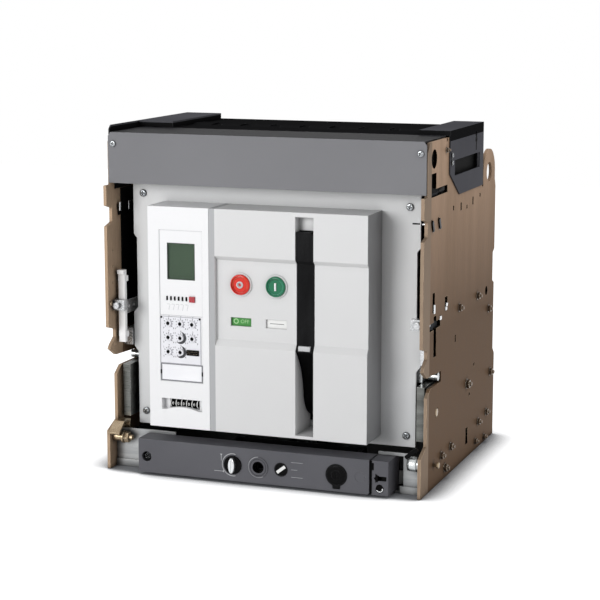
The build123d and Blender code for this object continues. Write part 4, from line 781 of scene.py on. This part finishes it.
def lining(side, y, z, thickness=1.1):
    """A black sheet on the inner face of a side plate, with a raised rim, that also stands for shade."""
    return recess(sheet_at(side * 201.95, -side * thickness, y, z), (-side, 0, 0), (3, 0.4))


sheets = []
for side in (-1, 1):
    sheets.append(lining(side, (-131, 128), (176, 352)))
    sheets.append(lining(side, (-98, 128), (146.5, 175.5)))
    sheets.append(lining(side, (-147, -100), (353, 411), 1.0))
    sheets.append(sheet_at(side * 200, side * 0.9, (-50, 77), (366, 403)))
give(joined(*sheets), "side_linings", "cradle", "black_lining_and_shade")
# Painted shade: a black mat on the tray floor stands for the shade under the breaker.
shade_mat = recess(slab((-198, -60, 2.4), (198, 132, 3.2)), (0, 0, 1), (4, 0.3))
give(shade_mat, "tray_shade_mat", "cradle", "black_lining_and_shade")
# Painted shade: thin black shapes on the caps stand for the dark inside the keyholes.
keyhole_shades = []
for side in (-1, 1):
    keyhole_shades.append(disc((side * CAP_FACE, 54.5, HOLE_Z), "X", 4.4, side * 0.12, 40))
    keyhole_shades.append(sheet_at(side * CAP_FACE, side * 0.12, (52.4, 56.6), (HOLE_Z - 14, HOLE_Z)))
give(joined(*keyhole_shades), "keyhole_shade_marks", "cradle", "black_lining_and_shade")
print("linings done")

# %% Model the hooks, the clamp arms and the roller
tabs = []
for side in (-1, 1):
    for y in (-137.0, -108.5):
        tab = slab((-1.0, -2.6, -7.0), (1.0, 2.6, 7.0))
        soften(tab, along("X"), 1.6, 4)
        moves = [((side * 207.0, y + 1, 323.0), (24, 0, 0)), ((side * 200.9, y, 326.0), (0, 0, 0))]
        tabs.append(copies(tab, moves))
give(joined(*tabs), "hook_tabs", "cradle", "black_gloss")

LUGS = [(-134.5, 320.5, 1.3, 4.5), (-106, 320.5, 1.3, 4.5), (-124.5, 222, 1.6, 5.5),
        (-70, 219, 2.4, 2.2), (-73, 214.5, 2.4, 2.2), (-97, 207, 2.6, 2.4)]
bright = []
for side in (-1, 1):
    start = side * 205.2
    for y, z, half_y, half_z in LUGS:
        lug = sheet_at(start, side * 2.4, (y - half_y, y + half_y), (z - half_z, z + half_z))
        bright.append(soften(lug, at(0, start + side * 2.4), 0.7))
    for y, z in [(-138.5, 330), (-112.4, 329)]:
        lug = sheet_at(side * 199.6, -side * 1.5, (y - 2.4, y + 2.4), (z - 5.5, z + 5.5))
        bright.append(soften(lug, every, 0.5, 2))
give(joined(*bright), "hook_lugs", "cradle", "polished_grip")

arms = []
studs = []
for side in (-1, 1):
    inner = side * 201.4
    inwards = 90 + side * 90
    arm = sheet_at(inner, -side * 3.0, (-125, -92), (191, 208))
    soften(arm, at(0, inner - side * 3.0), 0.8, 2)
    arms.append(recess(arm, (-side, 0, 0), (2.2, 0.8)))
    moves = [((side * 199.2, y, z), (0, 0, inwards)) for y, z in [(-117, 200), (-101, 199)]]
    arms.append(copies(rivet(2.4, 1.6), moves))
    for y, z, radius in [(-155, 276, 1.3), (-155.5, 256, 1.3), (-156, 236, 1.3), (-163, 210, 3.2)]:
        studs.append(copies(rivet(radius, radius * 0.6), [((side * 202, y, z), (0, 0, inwards))]))
give(joined(*arms), "clamp_arms", "cradle", "arm_plate_with_painted_light")
give(joined(*studs), "inner_studs", "cradle", "gold_zinc")

roller = ring((187.2, -160, 39.6), "X", 8.9, 4.1, 13.2, 56)
soften(roller, at(0, 187.2), 3.6, 6)
soften(roller, at(0, 200.4), 3.0, 5)
give(roller, "foot_roller", "cradle", "zinc_bright")
strap = slab((-9.5, -1.2, -2.4), (9.5, 1.2, 2.4))
soften(strap, along("Y"), 1.2)
strap = copies(strap, [((191.5, -163, 53.2), (0, -40, 0))])
give(strap, "foot_strap", "cradle", "black_gloss")

# Painted shade: a thin black plate on the front plate stands for the dark inside the catch slot.
catch_slot_shade = slab((177.5, -122.55, 322.4), (187.0, -122.35, 324.2))
soften(catch_slot_shade, along("Y"), 0.8)
give(catch_slot_shade, "catch_slot_shade", "breaker", "black_lining_and_shade")
catch_pin = disc((190.0, -124, 323.2), "X", 1.4, 11.8, 32)
soften(catch_pin, at(0, 190.0), 0.5, 2)
give(catch_pin, "catch_pin", "cradle", "polished_grip")
print("hooks, arms, roller and catch done")

# %% [markdown]
# ## Push buttons
# The real buttons are moulded in one piece of coloured plastic: a rounded rim, a shallow dish inside it
# that a fingertip finds, and a raised mark that is hot-stamped white. A disc is inset twice and pushed in
# to make the dish, and the rim is rounded.

# %% Model the buttons
BUTTON_FACE = -176.6


def dished_button(x, z, radius):
    """A button head with a rounded rim and a shallow dish, its face to the front."""
    head = disc((x, BUTTON_FACE, z), "Y", radius, 8.0, 72)
    soften(head, at(1, BUTTON_FACE), 1.5, 4)
    return recess(head, (0, -1, 0), (0.9, 0), (1.6, 1.3), (3.4, 0.35))


off_head = dished_button(-22.7, 246.2, 12.4)
give(off_head, "off_button_head", "off_button", "red_button")
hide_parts("off_button")
on_head = dished_button(23.1, 246.2, 12.4)
give(on_head, "on_button_head", "on_button", "green_button")
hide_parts("on_button")

off_mark = ring((-22.7, BUTTON_FACE + 0.1, 246.2), "Y", 4.2, 1.9, 2.1)
soften(off_mark, at(1, BUTTON_FACE + 0.1), 0.3, 2)
give(off_mark, "off_mark", "off_button", "bar_white")
on_mark = slab((22.0, BUTTON_FACE + 0.1, 241.4), (24.2, BUTTON_FACE + 2.1, 251.0))
soften(on_mark, at(1, BUTTON_FACE + 0.1), 0.35, 2)
give(on_mark, "on_mark", "on_button", "bar_white")
print("buttons done")

# %% [markdown]
# ## Printed marks
# Printed words and lines have next to no thickness. They are text or thin plates, a tenth of a millimetre
# proud of what they are printed on, turned upright and put into the mesh after the text has become a mesh.

# %% Print the marks of the indicator plates
def words(text, size, place, align="CENTER", thick=0.06):
    """Upright letters that face the front, with their middle or left end at a place."""
    bpy.ops.object.select_all(action="DESELECT")
    bpy.ops.object.text_add(location=Vector(place) * MM, rotation=(math.pi / 2, 0, 0))
    line = bpy.context.object
    line.data.body = text
    line.data.size = size * MM
    line.data.extrude = thick * MM
    line.data.resolution_u = 4
    line.data.align_x = align
    line.data.align_y = "CENTER"
    bpy.ops.object.convert(target="MESH")
    return settle(bpy.context.object)


FLAG_FACE = -169.1
off_ring = ring((-30.2, FLAG_FACE, 200.3), "Y", 3.4, 2.1, -0.1)
off_word = words("OFF", 6.4, (-18.8, FLAG_FACE, 200.2))
on_bar = slab((-31.0, FLAG_FACE - 0.1, 185.2), (-29.2, FLAG_FACE, 191.6))
on_word = words("ON", 6.4, (-18.8, FLAG_FACE, 188.3))
flag_marks = joined(off_ring, off_word, on_bar, on_word)
give(flag_marks, "position_flag_print", "position_flag", "printed_pale_green")

spring_line = slab((14, FLAG_FACE - 0.1, 199.7), (32, FLAG_FACE, 200.3))
spring_coils = [slab((16 + 3 * i, FLAG_FACE - 0.1, 186), (17 + 3 * i, FLAG_FACE, 190.5)) for i in range(5)]
charge_marks = joined(spring_line, *spring_coils)
give(charge_marks, "charge_flag_print", "charge_flag", "printed_dark")
print("flag prints done")

# %% [markdown]
# ## The face of the trip unit
# The setting plate is framed by a thin line and carries nine places: eight dials with a screwdriver slot
# and one connector. Each dial has a scale of ticks. Two of the scales are drawn as a thick crescent that
# grows with the setting, so these are cut from a ring.

# %% Print the scales
PLATE_PRINT = -176.9
dial_centres = [(-116.9 + 16.0 * (i % 3), 193.7 - 17.75 * (i // 3)) for i in range(8)]
TICKS = 9


def tick(x, z, angle, inner, outer, width):
    """A radial mark: a thin plate beside the axis, turned about the dial's centre."""
    mark = slab((-width / 2, -0.1, inner), (width / 2, 0, outer))
    return copies(mark, [((x, PLATE_PRINT, z), (0, angle, 0))])


scale_marks = []
for index, (x, z) in enumerate(dial_centres):
    for step in range(TICKS):
        angle = -135 + 270 * step / (TICKS - 1)
        scale_marks.append(tick(x, z, angle, 4.9, 6.0 if step % 2 else 6.8, 0.6))
for x, z in (dial_centres[4], dial_centres[7]):
    crescent = ring((x, PLATE_PRINT, z), "Y", 7.6, 4.5, -0.15)
    away = disc((x - 3.6, PLATE_PRINT + 1, z + 1.6), "Y", 7.2, -3)
    scale_marks.append(cut(crescent, away))
NUMBERS = [("0", -6.6, -6.4), ("8", 6.6, -6.4), ("2", -6.9, 5.4), ("6", 6.9, 5.4), ("4", 0.3, 8.2)]
for x, z in dial_centres:
    scale_marks += [words(text, 2.7, (x + far_x, PLATE_PRINT, z + far_z)) for text, far_x, far_z in NUMBERS]
scales = joined(*scale_marks)
give(scales, "dial_scales", "breaker", "printed_dark")
print("scale marks:", len(scale_marks))

# %% Model the dial centres and the pins of the connector
for number, (x, z) in enumerate(dial_centres, start=1):
    hub = disc((x, -179.1, z), "Y", 2.2, -0.5, 32)
    soften(hub, at(1, -179.6), 0.25, 2)
    cross = slab((x - 0.35, -180, z - 1.8), (x + 0.35, -179.2, z + 1.8))
    give(cut(hub, cross), "dial_centre_" + str(number), "dial_" + str(number), "black_gloss")

socket = sink(slab((-92.9, -177.7, 154.7), (-76.4, -177.2, 161.7)), 0.6, 0.4)
give(socket, "test_port_rim", "breaker", "black_gloss")
pins = []
for i in range(8):
    x = -91.2 + 1.9 * i
    pins += [slab((x, -177.9, z), (x + 0.5, -177.3, z + 0.5)) for z in (156.6, 159.2)]
pins = soften(joined(*pins), every, 0.08, 1)
give(pins, "test_port_pins", "breaker", "gold_zinc")
print("dial centres and connector done")

# %% [markdown]
# The display has a bezel, the rating plug is framed and held by a clip on each side, and six small lamps
# sit left of the red reset key. The frames are slabs that are opened up, so that each stays one piece.

# %% Model the frames, the clips and the lamps
TRIP_FLOOR = -176.3
bezel = frame_of((-118.0, -81.2), (248.0, 293.2), -176.35, 1.0, 0.7)
give(bezel, "display_bezel", "breaker", "display_edge")
glass = recess(slab((-117.9, -173.62, 248.1), (-81.3, -173.35, 293.1)), (0, -1, 0), (1.2, 0.08))
give(glass, "display_face", "breaker", "display_green")
outline = frame_of((-128.3, -71.0), (203.4, 309.0), TRIP_FLOOR - 0.08, 0.1, 0.35)
plate_border = frame_of((-127.9, -73.8), (143.3, 202.1), PLATE_PRINT - 0.08, 0.1, 0.6)
give(joined(outline, plate_border), "trip_face_lines", "breaker", "printed_grey")
rating_frame = frame_of((-127.9, -71.9), (121.0, 143.2), TRIP_FLOOR - 0.5, 0.5, 1.5)
soften(rating_frame, at(1, TRIP_FLOOR - 0.5), 0.25, 2)
card_plate = slab((-126.5, TRIP_FLOOR - 0.16, 122.4), (-73.3, TRIP_FLOOR - 0.02, 141.8))
recess(card_plate, (0, -1, 0), (0.8, 0.06))
give(card_plate, "rating_card", "breaker", "rating_card")
give(rating_frame, "rating_frame", "breaker", "frame_grey")
clips = []
for x in (-127.4, -72.4):
    clip = slab((x - 0.9, TRIP_FLOOR - 1.1, 129.6), (x + 0.9, TRIP_FLOOR - 0.4, 134.8))
    clips.append(soften(clip, at(1, TRIP_FLOOR - 1.1), 0.3, 2))
give(joined(*clips), "rating_clips", "breaker", "black_moulding")
corner_screws = copies(pan_head(1.25), [((x, PLATE_PRINT, 200.6), (0, 20, 0)) for x in (-126.5, -75.2)])
give(corner_screws, "setting_plate_screws", "breaker", "black_gloss")

lamps = []
leaders = []
for i in range(6):
    x = -118.6 + 5.15 * i
    lens = soften(slab((x - 1.15, -177.0, 221.9), (x + 1.15, -175.9, 227.3)), along("Y"), 1.05, 4)
    lamps.append(soften(lens, at(1, -177.0), 0.3, 2))
give(joined(*lamps), "lamp_lenses", "breaker", "black_gloss")
for i in range(5):
    x = -116.6 + 6.1 * i
    leaders.append(copies(slab((-0.14, -0.08, 0), (0.14, 0, 7.2)), [((x, TRIP_FLOOR, 210.2), (0, 14, 0))]))
    leaders.append(slab((x - 2.4, TRIP_FLOOR - 0.08, 217.2), (x + 1.0, TRIP_FLOOR, 217.5)))
give(joined(*leaders), "lamp_leader_lines", "breaker", "printed_grey")
print("frames, clips and lamps done")

# %% Print the digits of the counter
WHEEL_FACE = -172.3
WHEEL_Z = 91.75
digits = joined(*[words("0", 4.9, (-114.2 + 7.1 * i, WHEEL_FACE, WHEEL_Z)) for i in range(5)])
give(digits, "counter_digits", "counter_wheels", "printed_white")
edges = joined(*[ring((-117.75 + 7.1 * i, -167.1, WHEEL_Z), "X", 5.35, 4.9, 0.9, 40) for i in range(6)])
give(edges, "counter_wheel_rims", "counter_wheels", "printed_white")
print("counter done")

# %% [markdown]
# ## The withdrawal panel
# Everything that moves the breaker in and out is on this grey moulding. The release knob has a raised grip
# in bright metal inside a pale crescent, the crank hole has a raised collar with a pale crescent on its left
# and lower side, and the position disc carries an oblique white bar. Both crescents are painted highlights
# of the rims. The key barrel is black with a tab below it.

# %% Model the knob, the collar and the indicator
ROW_Z = 23.4
KNOB_X = -30.3
CRANK_X = 3.2
INDICATOR_X = 32.8
KEY_X = 103.9
PANEL_FACE = -182.7
HANDLE_FACE = -176.4
grip = disc((KNOB_X, -190.4, ROW_Z), "Y", 9.9, 7.0, 56)
choose(grip, "FACE", every)
bpy.ops.transform.resize(value=(0.44, 1, 1), center_override=Vector((KNOB_X, 0, ROW_Z)) * MM)
close()
soften(grip, at(1, -190.4), 2.4, 6)
give(grip, "release_knob_grip", "release_knob", "polished_grip")
seat = sink(disc((KNOB_X, -184.4, ROW_Z), "Y", 11.3, 1.2, 64), 0.8, 0.7)
give(seat, "release_knob_seat", "release_knob", "black_gloss")
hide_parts("release_knob")

prints_and_highlights = []
# Painted highlight: the two pale crescents on the lit side of the knob and of the crank collar stand for
# light on their rims; the lines and arrows below are print.
for x, radius, width, low_x, high_x, low_z in [(KNOB_X, 14.4, 0.9, KNOB_X + 3.5, KNOB_X + 20, 0),
                                               (CRANK_X, 13.2, 0.7, CRANK_X, 30, 12)]:
    highlight_arc = ring((x, PANEL_FACE, ROW_Z), "Y", radius, radius - width, -0.12, 72)
    prints_and_highlights.append(cut(highlight_arc, slab((low_x, PANEL_FACE - 2, low_z), (high_x, PANEL_FACE + 1, 50))))
for x, z, long_x, long_z in [(-49.5, 14.2, 11, 0.6), (-45.6, 31.0, 0.6, 7.0), (53.5, 33.6, 15, 0.4),
                             (53.5, 15.2, 15, 0.4), (50.0, 24.4, 8, 0.4)]:
    prints_and_highlights.append(slab((x - long_x / 2, PANEL_FACE - 0.12, z - long_z / 2),
                            (x + long_x / 2, PANEL_FACE, z + long_z / 2)))
for x, z, turn in [(-43.0, 14.2, 90), (-45.6, 35.2, 0)]:
    prints_and_highlights.append(copies(disc((0, 0, 0), "Y", 1.7, -0.12, 3), [((x, PANEL_FACE, z), (0, turn, 0))]))
give(joined(*prints_and_highlights), "panel_prints_and_highlights", "cradle", "pale_print_and_highlight")

collar = ring((CRANK_X, PANEL_FACE, ROW_Z), "Y", 11.0, 7.2, -1.0, 64)
soften(collar, at(1, PANEL_FACE - 1.0), 0.4, 2)
give(collar, "crank_collar", "cradle", "panel_moulding")
well = ring((CRANK_X, PANEL_FACE - 1.05, ROW_Z), "Y", 7.3, 6.5, 6.0, 48)
give(well, "crank_well", "cradle", "black_gloss")

pointer = slab((-6.6, -0.3, -1.9), (6.6, 0.0, 1.9))
soften(pointer, at(1, -0.3), 0.12, 1)
pointer = copies(pointer, [((INDICATOR_X, PANEL_FACE, ROW_Z), (0, -38, 0))])
give(pointer, "indicator_bar", "position_indicator", "printed_white")
rim = ring((INDICATOR_X, PANEL_FACE, ROW_Z), "Y", 8.6, 7.6, -0.7, 56)
soften(rim, at(1, PANEL_FACE - 0.7), 0.3, 2)
give(rim, "indicator_rim", "cradle", "black_moulding")
# Painted highlight: a light grey strip across the handle stands for the light caught by its upward chamfer.
highlight_band = slab((52.8, HANDLE_FACE - 0.4, 170.2), (67.8, HANDLE_FACE + 4.2, 176.2))
soften(highlight_band, at(1, HANDLE_FACE - 0.4), 0.5)
give(highlight_band, "handle_highlight_band", "charging_handle", "painted_highlight_grey")
print("panel controls and handle band done")

# %% Model the key barrel
barrel = disc((KEY_X, -184.6, ROW_Z), "Y", 11.6, 1.2, 64)
soften(barrel, at(1, -184.6), 0.6)
keyway = slab((KEY_X - 1.0, -186, ROW_Z - 5.0), (KEY_X + 1.0, -183.9, ROW_Z + 5.0))
plug = ring((KEY_X, -184.9, ROW_Z), "Y", 6.4, 5.6, 0.6, 48)
give(joined(plug, cut(barrel, keyway)), "key_barrel_face", "key_cylinder", "black_gloss")
tab = slab((KEY_X - 4.6, -184.0, 6.4), (KEY_X + 4.6, -182.6, 13.6))
soften(tab, at(2, 6.4), 1.0, 2)
key_ring = ring((KEY_X, PANEL_FACE, ROW_Z), "Y", 13.6, 12.6, -0.9, 64)
soften(key_ring, at(1, PANEL_FACE - 0.9), 0.3, 2)
give(joined(tab, key_ring), "key_seat", "cradle", "black_moulding")
print("key barrel done")
